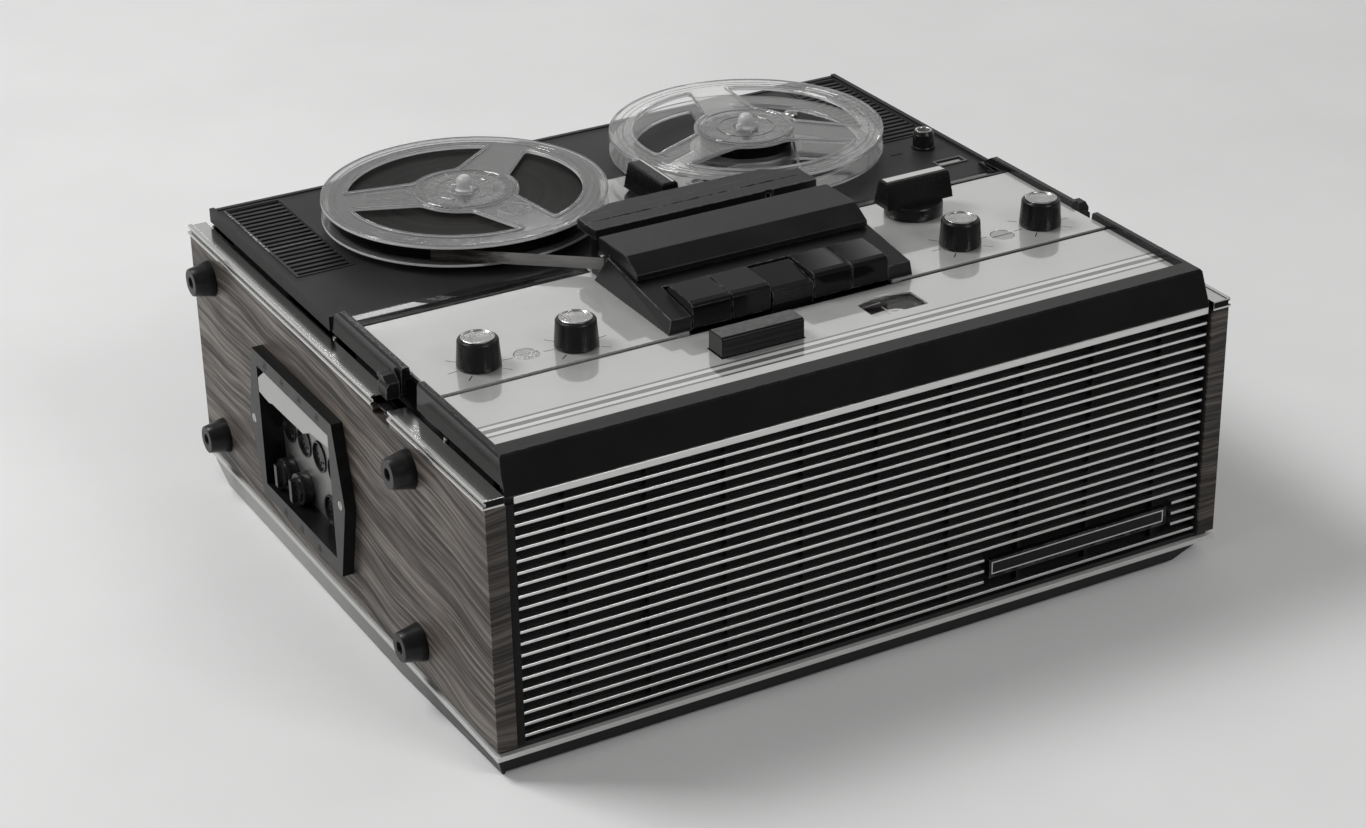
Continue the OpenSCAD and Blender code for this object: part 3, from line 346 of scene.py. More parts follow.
def wood():
    """Straight-grained veneer: the figure runs along the case and round its front edges."""
    m = Mat("wood_veneer", rough=0.42, spec=0.30)
    o = m.coords()
    s = m.sep(o)
    along = m.math("ADD", s[0], s[1])
    warp = m.noise(m.comb(along, 0.0, s[2]), 7.0, 2.0, 0.5)
    warp2 = m.noise(m.comb(m.math("MULTIPLY", along, 0.35), 0.0, s[2]), 30.0, 2.0, 0.5)
    z = m.math("ADD", s[2], m.math("MULTIPLY", m.math("SUBTRACT", warp, 0.5), 0.030))
    z = m.math("ADD", z, m.math("MULTIPLY", m.math("SUBTRACT", warp2, 0.5), 0.006))
    z = m.math("ADD", z, m.math("MULTIPLY", along, -0.045))

    def streak(f_along, f_z, detail, rough):
        return m.noise(m.comb(m.math("MULTIPLY", along, f_along), 0.0, m.math("MULTIPLY", z, f_z)), 1.0, detail, rough)

    broad = streak(4.0, 95.0, 2.0, 0.5)
    mid = streak(12.0, 420.0, 2.0, 0.5)
    fine = streak(22.0, 1150.0, 2.0, 0.6)
    pores = streak(60.0, 2300.0, 2.0, 0.6)
    v = m.math("ADD", m.math("MULTIPLY", broad, 0.28), m.math("MULTIPLY", mid, 0.42))
    v = m.math("ADD", v, m.math("MULTIPLY", fine, 0.30))
    v = m.range(v, 0.415, 0.585, 0.0, 1.0)
    col = m.ramp(v, [(0.05, (0.016, 0.0132, 0.0112)), (0.30, (0.046, 0.0385, 0.0330)), (0.55, (0.088, 0.0750, 0.0650)), (0.80, (0.142, 0.1230, 0.1080)), (1.0, (0.190, 0.1670, 0.1490))])
    p = m.ramp(pores, [(0.34, 1.0), (0.44, 0.0)])
    col = m.mix(m.math("MULTIPLY", p, 0.70), col, (0.014, 0.0116, 0.0100))
    blot = m.noise(o, 14.0, 3.0, 0.6)
    col = m.mix(m.range(blot, 0.45, 0.72, 0.0, 0.35), col, (0.036, 0.0300, 0.0255))
    # painted shade: faces looking to the front are coloured darker than the side panels
    n = m.sep(m.normal())
    col = m.mix(m.range(n[1], -0.7, -0.9, 0.0, 0.50), col, (0.008, 0.0070, 0.0062))
    m.link(col, "color")
    m.link(m.range(m.math("ADD", m.math("MULTIPLY", v, 0.5), m.math("MULTIPLY", pores, 0.5)), 0.25, 0.75, 0.52, 0.36), "rough")
    m.bump(m.math("SUBTRACT", m.math("MULTIPLY", v, 0.3), m.math("MULTIPLY", p, 0.6)), 0.30, 0.00012)
    return m.m


def glassy(name, base, rough, trans, ior=1.49, mottle=0.0, bump=0.05, bscale=300.0, rim=0.0):
    m = Mat(name, color=base, rough=rough, trans=trans, ior=ior)
    c = m.coords()
    if rim:
        # painted highlight: cut walls and outer edges are coloured near-white, and made rougher and less clear, so they
        # read as bright rims
        nz = m.math("ABSOLUTE", m.sep(m.normal())[2])
        wall = m.range(nz, 0.30, 0.75, rim, 0.0, smooth=True)
        m.link(m.mix(wall, (base, base, base), (0.95, 0.95, 0.95)), "color")
        m.link(m.math("ADD", m.math("MULTIPLY", wall, 0.40), rough), "rough")
        m.link(m.math("SUBTRACT", trans, m.math("MULTIPLY", wall, 0.75 * trans)), "trans")
    elif mottle:
        n = m.noise(c, 55.0, 4.0, 0.6)
        m.link(m.range(n, 0.3, 0.7, rough * (1 - mottle), min(1.0, rough * (1 + mottle))), "rough")
    m.bump(m.noise(c, bscale, 2.0, 0.5), bump, 0.0002)
    return m.m


def spun_metal():
    """Turned metal: marks run in circles round the piece's own middle."""
    m = Mat("cap_spun", metal=1.0, rough=0.22, aniso=0.65)
    m.set("color", (0.74, 0.74, 0.73))
    o = m.coords()
    s = m.sep(o)
    r = m.math("SQRT", m.math("ADD", m.math("MULTIPLY", s[0], s[0]), m.math("MULTIPLY", s[1], s[1])))
    rings = m.noise(m.comb(m.math("MULTIPLY", r, 4200.0), 0.0, 0.0), 1.0, 3.0, 0.7)
    m.link(m.range(rings, 0.3, 0.7, 0.16, 0.32), "rough")
    m.link(m.ramp(m.noise(o, 240.0, 4.0, 0.6), [(0.3, (0.44, 0.44, 0.435)), (0.7, (0.62, 0.62, 0.61))]), "color")
    t = m.t.nodes.new("ShaderNodeTangent")
    t.direction_type = "RADIAL"
    t.axis = "Z"
    m.t.links.new(t.outputs[0], m.b.inputs["Tangent"])
    m.bump(rings, 0.10, 0.00005)
    return m.m


def tape():
    """Wound tape: fine rings on the pack's face, a darker and a paler wind here and there, and a satin shine."""
    m = Mat("tape_brown", rough=0.38, spec=0.05, aniso=0.4)
    o = m.coords()
    s = m.sep(o)
    x = m.math("SUBTRACT", m.math("ABSOLUTE", m.math("ADD", s[0], -0.003)), 0.0832)
    y = m.math("ADD", s[1], -0.0925)
    r = m.math("SQRT", m.math("ADD", m.math("MULTIPLY", x, x), m.math("MULTIPLY", y, y)))
    fine = m.noise(m.comb(m.math("MULTIPLY", r, 2600.0), 0.0, 0.0), 1.0, 3.0, 0.7)
    wide = m.noise(m.comb(m.math("MULTIPLY", r, 260.0), 0.0, 0.0), 1.0, 4.0, 0.65)
    col = m.ramp(m.math("ADD", m.math("MULTIPLY", fine, 0.45), m.math("MULTIPLY", wide, 0.55)), [(0.38, (0.0020, 0.0018, 0.0017)), (0.50, (0.0075, 0.0070, 0.0066)), (0.62, (0.0300, 0.0280, 0.0262))])
    m.link(col, "color")
    m.link(m.range(wide, 0.3, 0.7, 0.24, 0.40), "rough")
    t = m.t.nodes.new("ShaderNodeTangent")
    t.direction_type = "RADIAL"
    t.axis = "Z"
    m.t.links.new(t.outputs[0], m.b.inputs["Tangent"])
    m.bump(fine, 0.35, 0.00010)
    m.bump(wide, 0.25, 0.00030)
    return m.m


def deck():
    """Satin black deck plate: dusty, and rubbed bright in specks along the outer edge of the left louvre frame."""
    m = Mat("deck_black", rough=0.44, spec=0.22)
    c = m.coords()
    s = m.sep(c)
    big = m.noise(c, 30.0, 4.0, 0.6)
    col = m.ramp(big, [(0.30, (0.0120, 0.0120, 0.0122)), (0.72, (0.0205, 0.0205, 0.0208))])
    dust = m.ramp(m.noise(c, 1500.0, 2.0, 0.7), [(0.68, 0.0), (0.78, 1.0)])
    col = m.mix(m.math("MULTIPLY", dust, 0.22), col, (0.09, 0.09, 0.09))
    inx = m.math("MULTIPLY", m.range(s[0], -0.1850, -0.1846, 0.0, 1.0), m.range(s[0], -0.1836, -0.1832, 1.0, 0.0))
    iny = m.math("MULTIPLY", m.range(s[1], 0.098, 0.106, 0.0, 1.0), m.range(s[1], 0.158, 0.165, 1.0, 0.0))
    spots = m.ramp(m.noise(m.coords((300, 700, 1)), 1.0, 2.0, 0.6), [(0.50, 0.0), (0.58, 1.0)])
    worn = m.math("MULTIPLY", m.math("MULTIPLY", inx, iny), m.math("MULTIPLY", spots, m.range(s[2], 0.1497, 0.1500, 0.0, 1.0)))
    col = m.mix(worn, col, (0.42, 0.42, 0.41))
    m.link(col, "color")
    fine = m.noise(c, 900.0, 3.0, 0.6)
    # the strip next to the control panel, left of the heads, is rubbed glossy
    gl = m.math("MULTIPLY", m.range(s[1], 0.0105, 0.0125, 1.0, 0.0), m.range(s[0], -0.070, -0.060, 1.0, 0.0))
    dull = m.math("SUBTRACT", 1.0, gl)
    r = m.range(m.math("ADD", m.math("MULTIPLY", big, 0.65), m.math("MULTIPLY", fine, 0.35)), 0.3, 0.7, 0.38, 0.54)
    m.link(m.math("ADD", m.math("MULTIPLY", r, dull), m.math("MULTIPLY", gl, 0.05)), "rough")
    m.bump(m.math("MULTIPLY", m.noise(c, 2600.0, 2.0, 0.5), dull), 0.20, 0.00008)
    return m.m


def facing(m, axis, sign):
    """1 where the surface looks along an axis, 0 elsewhere."""
    g = m.t.nodes.new("ShaderNodeNewGeometry")
    n = m.sep(g.outputs["Normal"])[axis]
    return m.range(m.math("MULTIPLY", n, float(sign)), 0.90, 0.97, 0.0, 1.0)


def bar_key():
    """Long switch bar: upward top painted paler and mottled as a painted sheen, black glossy sides."""
    m = Mat("bar_key", rough=0.22, spec=0.20)
    c = m.coords()
    n = m.noise(c, 420.0, 4.0, 0.65)
    up = facing(m, 2, 1)
    top = m.ramp(n, [(0.32, (0.060, 0.060, 0.060)), (0.68, (0.110, 0.110, 0.109))])
    # painted sheen: the face that looks up is coloured paler than the sides
    m.link(m.mix(up, (0.006, 0.006, 0.006), top), "color")
    m.link(m.range(up, 0.0, 1.0, 0.16, 0.42), "rough")
    m.bump(n, 0.06, 0.0001)
    return m.m


def escutcheon():
    """Moulded frame: glossy black sides, grey crackle paint on the face that looks outwards."""
    m = Mat("bezel_grey", rough=0.36, spec=0.25)
    c = m.coords()
    big = m.noise(c, 90.0, 4.0, 0.65)
    fine = m.noise(c, 1100.0, 3.0, 0.7)
    face = m.ramp(m.math("ADD", m.math("MULTIPLY", big, 0.5), m.math("MULTIPLY", fine, 0.5)), [(0.32, (0.038, 0.038, 0.038)), (0.68, (0.078, 0.078, 0.077))])
    out = m.math("MULTIPLY", facing(m, 0, -1), m.range(m.sep(c)[0], -0.2045, -0.2055, 0.0, 1.0))
    m.link(m.mix(out, (0.006, 0.006, 0.006), face), "color")
    m.link(m.range(out, 0.0, 1.0, 0.26, 0.50), "rough")
    m.bump(fine, 0.18, 0.00008)
    return m.m


def base_paint():
    """Painted base pan: black along the front; its left flank painted grey as a painted reflection of the bright floor,
    more so towards the back.
    """
    m = Mat("base_grey", rough=0.40, spec=0.25)
    c = m.coords()
    s = m.sep(c)
    big = m.noise(c, 45.0, 4.0, 0.65)
    fine = m.noise(c, 1000.0, 3.0, 0.6)
    black = m.ramp(big, [(0.3, (0.007, 0.007, 0.007)), (0.7, (0.013, 0.013, 0.013))])
    # painted reflection: the left-facing flank is coloured grey, more towards the back
    dull = m.math("MULTIPLY", facing(m, 0, -1), m.range(s[1], -0.20, 0.10, 0.14, 1.0, smooth=True))
    grey = m.ramp(m.math("ADD", m.math("MULTIPLY", big, 0.6), m.math("MULTIPLY", fine, 0.4)), [(0.3, (0.26, 0.26, 0.255)), (0.7, (0.36, 0.36, 0.355))])
    m.link(m.mix(dull, black, grey), "color")
    m.link(m.range(big, 0.3, 0.7, 0.34, 0.50), "rough")
    m.bump(fine, 0.12, 0.00008)
    return m.m


def trim_metal():
    """Trim strips: two polished beads with a line of painted shade between them along the side panels, satin where they
    run round the bottom; their front-facing ends are painted dark as shade.
    """
    m = Mat("bright_trim", rough=0.10, metal=1.0, spec=0.5)
    c = m.coords()
    s = m.sep(c)
    low = m.range(s[2], 0.020, 0.024, 1.0, 0.0)
    lines = m.noise(m.coords((2600, 26, 2600)), 1.0, 3.0, 0.7)
    big = m.noise(c, 26.0, 4.0, 0.6)
    col = m.ramp(m.math("ADD", m.math("MULTIPLY", big, 0.5), m.math("MULTIPLY", lines, 0.5)), [(0.3, (0.54, 0.54, 0.53)), (0.7, (0.66, 0.66, 0.65))])
    # groove between the beads: painted shade
    g = m.math("MULTIPLY", m.range(s[2], 0.13985, 0.13995, 0.0, 1.0), m.range(s[2], 0.14030, 0.14045, 1.0, 0.0))
    # ends: painted shade on the faces that look to the front, leaving a bright line of plain metal along their top and
    # bottom edges
    end = facing(m, 1, -1)
    end = m.math("MULTIPLY", end, m.math("MULTIPLY", m.range(s[2], 0.1378, 0.1381, 0.0, 1.0), m.range(s[2], 0.1410, 0.1413, 1.0, 0.0)))
    end = m.math("MULTIPLY", end, m.range(s[2], 0.130, 0.131, 0.0, 1.0))
    dark = m.math("MAXIMUM", g, end)
    m.link(m.mix(dark, col, (0.012, 0.012, 0.012)), "color")
    m.link(m.range(low, 0.0, 1.0, 0.16, 0.50), "rough")
    m.link(m.range(low, 0.0, 1.0, 1.0, 0.45), "metal")
    return m.m


def tape_face():
    """The strand's wide side: shiny, with a painted reflection that turns it from dark to pale towards the right."""
    m = Mat("tape_face", rough=0.22, spec=0.5)
    c = m.coords()
    s = m.sep(c)
    # painted reflection: the wide side is coloured dark on the left and pale from about x = -60 mm rightwards, with a
    # ragged border
    t = m.range(s[0], -0.135, -0.060, 0.0, 1.0, smooth=True)
    n = m.noise(m.coords((60, 60, 500)), 1.0, 4.0, 0.65)
    dark = m.ramp(n, [(0.35, (0.012, 0.011, 0.010)), (0.65, (0.060, 0.056, 0.052))])
    pale = m.ramp(n, [(0.30, (0.26, 0.255, 0.25)), (0.70, (0.36, 0.355, 0.35))])
    edge = m.range(m.math("ADD", t, m.math("MULTIPLY", m.math("SUBTRACT", n, 0.5), 0.9)), 0.30, 0.70, 0.0, 1.0, smooth=True)
    side = m.range(m.sep(m.normal())[2], 0.4, 0.8, 1.0, 0.0)
    m.link(m.mix(m.math("MULTIPLY", edge, side), dark, pale), "color")
    m.bump(n, 0.15, 0.00008)
    return m.m


MATS = {
    "bar_key": bar_key(),
    "wood_veneer": wood(),
    "bright_trim": trim_metal(),
    "brushed_panel": metal("brushed_panel", (0.53, 0.53, 0.52), 0.45, 0, 0.10, coat=1.0, scratch=0.1, coat_rough=0.04, metallic=0.30, coat_ior=3.0),
    # the pale edges of black_gloss and key_gloss are a painted highlight; those of cover_black are rubbed wear
    "black_gloss": plastic("black_gloss", (0.005, 0.005, 0.005), 0.14, 0.015, 1200.0, speck=0.10, spec=0.26, wear_and_edge_highlight=0.5),
    "key_gloss": plastic("key_gloss", (0.005, 0.005, 0.0053), 0.12, 0.02, 900.0, spec=0.16, wear_and_edge_highlight=1.0),
    "knob_black": plastic("knob_black", (0.006, 0.006, 0.006), 0.28, 0.05, 1800.0, spec=0.22),
    "deck_black": deck(),
    "cover_black": plastic("cover_black", (0.008, 0.008, 0.0082), 0.32, 0.10, 2200.0, spec=0.20, speck=0.10, wear_and_edge_highlight=0.8),
    "grille_black": plastic("grille_black", (0.006, 0.006, 0.006), 0.75, 0.1, spec=0.2),
    "slat_bright": metal("slat_bright", (0.66, 0.66, 0.65), 0.30, 0, 0.06, scratch=0.2),
    "base_grey": base_paint(),
    "foot_rubber": plastic("foot_rubber", (0.007, 0.007, 0.007), 0.34, 0.10, 1500.0, spec=0.28, speck=0.1),
    "bezel_grey": escutcheon(),
    "plate_grey": metal("plate_grey", (0.34, 0.34, 0.335), 0.42, 1, 0.1),
    "socket_black": plastic("socket_black", (0.010, 0.010, 0.010), 0.25, 0.03),
    "bar_white": plastic("bar_white", (0.40, 0.40, 0.39), 0.45, 0.05, mottle=0.05, speck=0.0),
    "screw_steel": metal("screw_steel", (0.55, 0.55, 0.54), 0.28, None, 0.06),
    "head_metal": metal("head_metal", (0.62, 0.62, 0.61), 0.25, 2, 0.05),
    "chassis_steel": metal("chassis_steel", (0.06, 0.06, 0.06), 0.55, None, 0.1, metallic=0.4),
    "motor_metal": metal("motor_metal", (0.35, 0.35, 0.35), 0.40, None, 0.1),
    "pulley_brass": metal("pulley_brass", (0.55, 0.48, 0.32), 0.25, None, 0.05),
    "belt_rubber": plastic("belt_rubber", (0.012, 0.012, 0.012), 0.7, 0.2),
    "board_green": plastic("board_green", (0.08, 0.10, 0.08), 0.45, 0.1),
    "meter_white": plastic("meter_white", (0.020, 0.020, 0.020), 0.5, 0.03, mottle=0.05),
    "clear_window": glassy("clear_window", 0.96, 0.02, 1.0, ior=1.20, bump=0.01),
    "needle_pale": plastic("needle_pale", (0.70, 0.70, 0.68), 0.4, 0.0, mottle=0.05),
    "counter_dark": plastic("counter_dark", (0.05, 0.05, 0.05), 0.3, 0.05),
    "wheel_white": plastic("wheel_white", (0.60, 0.60, 0.58), 0.5, 0.05, mottle=0.05),
    "reel_frosted": glassy("reel_frosted", 0.68, 0.06, 0.92, mottle=0.35, bump=0.03, bscale=700.0, rim=0.85),
    "reel_clear": glassy("reel_clear", 0.97, 0.015, 0.98, mottle=0.3, bump=0.006, bscale=160.0, rim=0.35),
    "spindle_pale": glassy("spindle_pale", 0.80, 0.30, 0.45, mottle=0.2, bump=0.05),
    "cap_spun": spun_metal(),
    "ink_black": plastic("ink_black", (0.012, 0.012, 0.012), 0.5, 0.0, spec=0.3, coat=1.0, coat_ior=2.4, coat_rough=0.05),
    "panel_polished": metal("panel_polished", (0.66, 0.66, 0.65), 0.45, 0, 0.05, coat=1.0, scratch=0.0, coat_rough=0.04, metallic=0.2, coat_ior=3.0),
    "tape_brown": tape(),
    "tape_face": tape_face(),
    "ink_grey": plastic("ink_grey", (0.10, 0.10, 0.10), 0.5, 0.0, spec=0.3, coat=1.0, coat_ior=2.8, coat_rough=0.04),
    "stripe_pale": plastic("stripe_pale", (0.52, 0.52, 0.51), 0.35, 0.03, mottle=0.04, spec=0.4),
    "dial_dark": plastic("dial_dark", (0.020, 0.020, 0.020), 0.45, 0.02, mottle=0.3, spec=0.3),
    "dial_pale": plastic("dial_pale", (0.78, 0.78, 0.76), 0.45, 0.02, mottle=0.15, spec=0.3),
    "lens_grey": plastic("lens_grey", (0.30, 0.30, 0.29), 0.20, 0.02, mottle=0.12, spec=0.6),
    "table_grey": plastic("table_grey", (0.18, 0.18, 0.18), 0.4, 0.05),
    "flywheel_steel": metal("flywheel_steel", (0.6, 0.6, 0.6), 0.2, None, 0.04),
    "speaker_black": plastic("speaker_black", (0.012, 0.012, 0.012), 0.8, 0.3),
}

NODE_MAT = {
    "side_panel_left": "wood_veneer", "side_panel_right": "wood_veneer", "trims": "bright_trim", "handle": "foot_rubber", "base_pan": "base_grey",
    "feet": "foot_rubber", "rear_cover": "base_grey", "grille_frame": "grille_black", "grille_slats": "slat_bright", "badge_plate": "black_gloss",
    "loudspeakers": "speaker_black", "connector_bezel": "bezel_grey", "connector_plate": "plate_grey", "connector_sockets": "socket_black",
    "dummy_plugs": "socket_black", "connector_bar": "bar_white", "mains_inlet": "socket_black", "deck_plate": "deck_black", "bezel": "black_gloss",
    "panel_rear": "brushed_panel", "panel_front": "brushed_panel", "panel_screws": "screw_steel", "lid_latches": "cover_black",
    "head_cover_rear": "cover_black", "key_housing": "cover_black", "head_block": "head_metal", "pinch_roller": "belt_rubber",
    "tape_strand": "tape_face", "chassis": "chassis_steel", "motor": "motor_metal", "motor_pulley": "pulley_brass", "drive_belt": "belt_rubber",
    "electronics": "board_green", "pots": "motor_metal", "meter_case": "counter_dark", "meter_window": "clear_window", "meter_needle": "needle_pale",
    "counter_frame": "counter_dark", "counter_wheels": "wheel_white", "head_hood": "cover_black", "key_1": "key_gloss", "key_2": "key_gloss",
    "key_3": "key_gloss", "key_4": "key_gloss", "key_5": "key_gloss", "power_key": "bar_key", "knob_1": "knob_black", "knob_2": "knob_black",
    "knob_3": "knob_black", "knob_4": "knob_black", "selector": "knob_black", "speed_knob": "knob_black", "reset_knob": "knob_black",
    "supply_table": "table_grey", "takeup_table": "table_grey", "supply_reel": "reel_frosted", "takeup_reel": "reel_clear",
    "supply_tape": "tape_brown", "takeup_tape": "tape_brown", "capstan_flywheel": "flywheel_steel",
}
EDGE = {"bezel": 1.1, "deck_plate": 0.35, "head_hood": 0.5, "key_housing": 0.5, "head_cover_rear": 0.5, "connector_bezel": 0.6, "grille_slats": 0.4,
        "side_panel_left": 0.4, "side_panel_right": 0.4, "feet": 0.6, "knob_1": 0.4, "knob_2": 0.4, "knob_3": 0.4, "knob_4": 0.4, "selector": 0.35,
        "speed_knob": 0.35, "key_1": 0.9, "key_2": 0.9, "key_3": 0.9, "key_4": 0.9, "key_5": 0.9, "power_key": 0.6, "base_pan": 0.8, "trims": 0.15,
        "connector_bar": 0.4, "panel_rear": 0.15, "panel_front": 0.15, "lid_latches": 0.3, "handle": 0.8, "rear_cover": 0.3, "mains_inlet": 0.4}

for n, o in nodes.items():
    mat = MATS[NODE_MAT[n]]
    if not o.material_slots:
        o.data.materials.append(mat)
    for s in o.material_slots:
        s.material = mat
    w = o.modifiers.new("weld", "WELD")
    w.merge_threshold = 0.000002
    dc = o.modifiers.new("flats", "DECIMATE")
    dc.decimate_type = "DISSOLVE"
    dc.angle_limit = math.radians(0.4)
    bv = o.modifiers.new("edges", "BEVEL")
    bv.limit_method = "ANGLE"
    bv.angle_limit = math.radians(28)
    bv.width = EDGE.get(n, 0.2) * MM
    bv.segments = 2
    bv.use_clamp_overlap = True
    bv.harden_normals = True

# ------------------------------------------------------------------ mesh builders (millimetres in, metres out)
def finish_mesh(bm, name, mats, body, loc=(0, 0, 0), bevel=0.0, seg=2, sharp=32, replaces=None):
    bmesh.ops.recalc_face_normals(bm, faces=bm.faces)
    me = bpy.data.meshes.new(name)
    for v in bm.verts:
        v.co *= MM
    bm.to_mesh(me)
    bm.free()
    return finish_obj(me, name, mats, body, loc, bevel, seg, sharp, replaces)


def finish_obj(me, name, mats, body, loc=(0, 0, 0), bevel=0.0, seg=2, sharp=32, replaces=None):
    for m in (mats if isinstance(mats, (list, tuple)) else [mats]):
        me.materials.append(m)
    me.shade_smooth()
    me.set_sharp_from_angle(angle=math.radians(sharp))
    o = bpy.data.objects.new(name, me)
    scene.collection.objects.link(o)
    o.location = Vector(loc) * MM
    if bevel:
        bv = o.modifiers.new("edges", "BEVEL")
        bv.limit_method = "ANGLE"
        bv.angle_limit = math.radians(sharp)
        bv.width = bevel * MM
        bv.segments = seg
        bv.harden_normals = True
    if replaces:
        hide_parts(*replaces)
    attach(o, body)
    return o


def add_lathe(bm, prof, seg=96, centre=(0, 0), closed=False, axis="z", mat=0):
    """Revolves (radius, height) points; a point on the axis closes that end."""
    rings = []
    for r, z in prof:
        pts = []
        n = 1 if r < 1e-6 else seg
        for i in range(n):
            a = 2 * math.pi * i / seg
            x, y = r * math.cos(a), r * math.sin(a)
            if axis == "z":
                p = (centre[0] + x, centre[1] + y, z)
            elif axis == "x":
                p = (z, centre[0] + x, centre[1] + y)
            else:
                p = (centre[0] + x, z, centre[1] + y)
            pts.append(bm.verts.new(p))
        rings.append(pts)
    pairs = list(zip(rings, rings[1:])) + ([(rings[-1], rings[0])] if closed else [])
    for a, b in pairs:
        for i in range(seg):
            j = (i + 1) % seg
            if len(a) == 1 and len(b) == 1:
                break
            if len(a) == 1:
                f = bm.faces.new((a[0], b[i], b[j]))
            elif len(b) == 1:
                f = bm.faces.new((a[i], b[0], a[j]))
            else:
                f = bm.faces.new((a[i], b[i], b[j], a[j]))
            f.material_index = mat
    return bm


def add_prism(bm, pts, z0, z1, mat=0, taper=0.0, hole=None):
    """A closed outline pushed up from z0 to z1; taper pulls the top outline in towards the middle."""
    n = len(pts)
    cx = sum(p[0] for p in pts) / n
    cy = sum(p[1] for p in pts) / n
    lo = [bm.verts.new((p[0], p[1], z0)) for p in pts]
    hi = []
    for p in pts:
        d = Vector((p[0] - cx, p[1] - cy))
        l = d.length or 1.0
        d = d * max(0.0, (l - taper) / l)
        hi.append(bm.verts.new((cx + d.x, cy + d.y, z1)))
    if hole is None:
        bm.faces.new(lo).material_index = mat
        bm.faces.new(hi).material_index = mat
    else:
        h0 = [bm.verts.new((p[0], p[1], z0)) for p in hole]
        h1 = [bm.verts.new((p[0], p[1], z1)) for p in hole]
        for i in range(n):
            j = (i + 1) % n
            bm.faces.new((lo[i], lo[j], h0[j], h0[i])).material_index = mat
            bm.faces.new((hi[i], h1[i], h1[j], hi[j])).material_index = mat
            bm.faces.new((h0[i], h0[j], h1[j], h1[i])).material_index = mat
    for i in range(n):
        j = (i + 1) % n
        bm.faces.new((lo[i], hi[i], hi[j], lo[j])).material_index = mat


def rect(cx, cy, w, h, ang=0.0):
    c, s = math.cos(ang), math.sin(ang)
    return [(cx + x * c - y * s, cy + x * s + y * c) for x, y in ((-w / 2, -h / 2), (w / 2, -h / 2), (w / 2, h / 2), (-w / 2, h / 2))]


def circle(r, n=96, cx=0.0, cy=0.0):
    return [(cx + r * math.cos(2 * math.pi * i / n), cy + r * math.sin(2 * math.pi * i / n)) for i in range(n)]


def resample(path, step):
    out = []
    n = len(path)
    for i in range(n):
        a, b = path[i], path[(i + 1) % n]
        d = math.dist(a, b)
        k = max(1, int(round(d / step)))
        out += [(a[0] + (b[0] - a[0]) * t / k, a[1] + (b[1] - a[1]) * t / k) for t in range(k)]
    return out


def relax(path, times):
    for _ in range(times):
        n = len(path)
        path = [((path[i - 1][0] + 2 * path[i][0] + path[(i + 1) % n][0]) / 4, (path[i - 1][1] + 2 * path[i][1] + path[(i + 1) % n][1]) / 4) for i in range(n)]
    return path


def spun(path, a):
    c, s = math.cos(a), math.sin(a)
    return [(x * c - y * s, x * s + y * c) for x, y in path]


def plate(loops, z0, z1, bevel, res=2):
    """A flat plate with holes and rounded edges, made from filled outlines."""
    cu = bpy.data.curves.new("outline", "CURVE")
    cu.dimensions = "2D"
    cu.fill_mode = "BOTH"
    for loop in loops:
        sp = cu.splines.new("POLY")
        sp.points.add(len(loop) - 1)
        for p, (x, y) in zip(sp.points, loop):
            p.co = (x * MM, y * MM, 0, 1)
        sp.use_cyclic_u = True
    cu.extrude = ((z1 - z0) / 2 - bevel) * MM
    cu.bevel_depth = bevel * MM
    cu.bevel_resolution = res
    cu.offset = -bevel * MM
    ob = bpy.data.objects.new("outline", cu)
    scene.collection.objects.link(ob)
    dg = bpy.context.evaluated_depsgraph_get()
    me = bpy.data.meshes.new_from_object(ob.evaluated_get(dg))
    bpy.data.objects.remove(ob)
    bpy.data.curves.remove(cu)
    me.transform(Matrix.Translation((0, 0, (z0 + z1) / 2 * MM)))
    return me


def add_mesh(bm, me, mat=0):
    """Adds a metre-sized mesh to a millimetre bmesh."""
    me.transform(Matrix.Scale(1 / MM, 4))
    tmp = bmesh.new()
    tmp.from_mesh(me)
    bmesh.ops.remove_doubles(tmp, verts=tmp.verts, dist=0.0005)
    me2 = bpy.data.meshes.new("part")
    tmp.to_mesh(me2)
    tmp.free()
    n = len(bm.faces)
    bm.from_mesh(me2)
    bm.faces.ensure_lookup_table()
    for f in bm.faces[n:]:
        f.material_index = mat
    bpy.data.meshes.remove(me)
    bpy.data.meshes.remove(me2)


# ------------------------------------------------------------------ reels
ZD, ZC, ZB = 149.7, 154.0, 156.7
YS, XS, XT = 92.5, -80.2, 86.2
ZFL, ZFU, RR = ZD + 4, ZD + 13.6, 73.5


def window(grow=0.0, step=0.5, smooth=26):
    r0, r1 = 28.0 - grow, 60.4 + grow
    nx, ny = -0.9112, 0.4119

    def side(r):
        lo, hi = 0.0, math.radians(85)
        for _ in range(50):
            t = (lo + hi) / 2
            if nx * (r * math.cos(t) - 18.3) + ny * r * math.sin(t) > grow:
                hi = t
            else:
                lo = t
        return lo

    t0, t1 = side(r0), side(r1)
    k = 24
    path = [(r0 * math.cos(-t0 + 2 * t0 * i / k), r0 * math.sin(-t0 + 2 * t0 * i / k)) for i in range(k + 1)]
    path += [(r1 * math.cos(t1 - 2 * t1 * i / k), r1 * math.sin(t1 - 2 * t1 * i / k)) for i in range(k + 1)]
    return relax(resample(path, step), smooth)


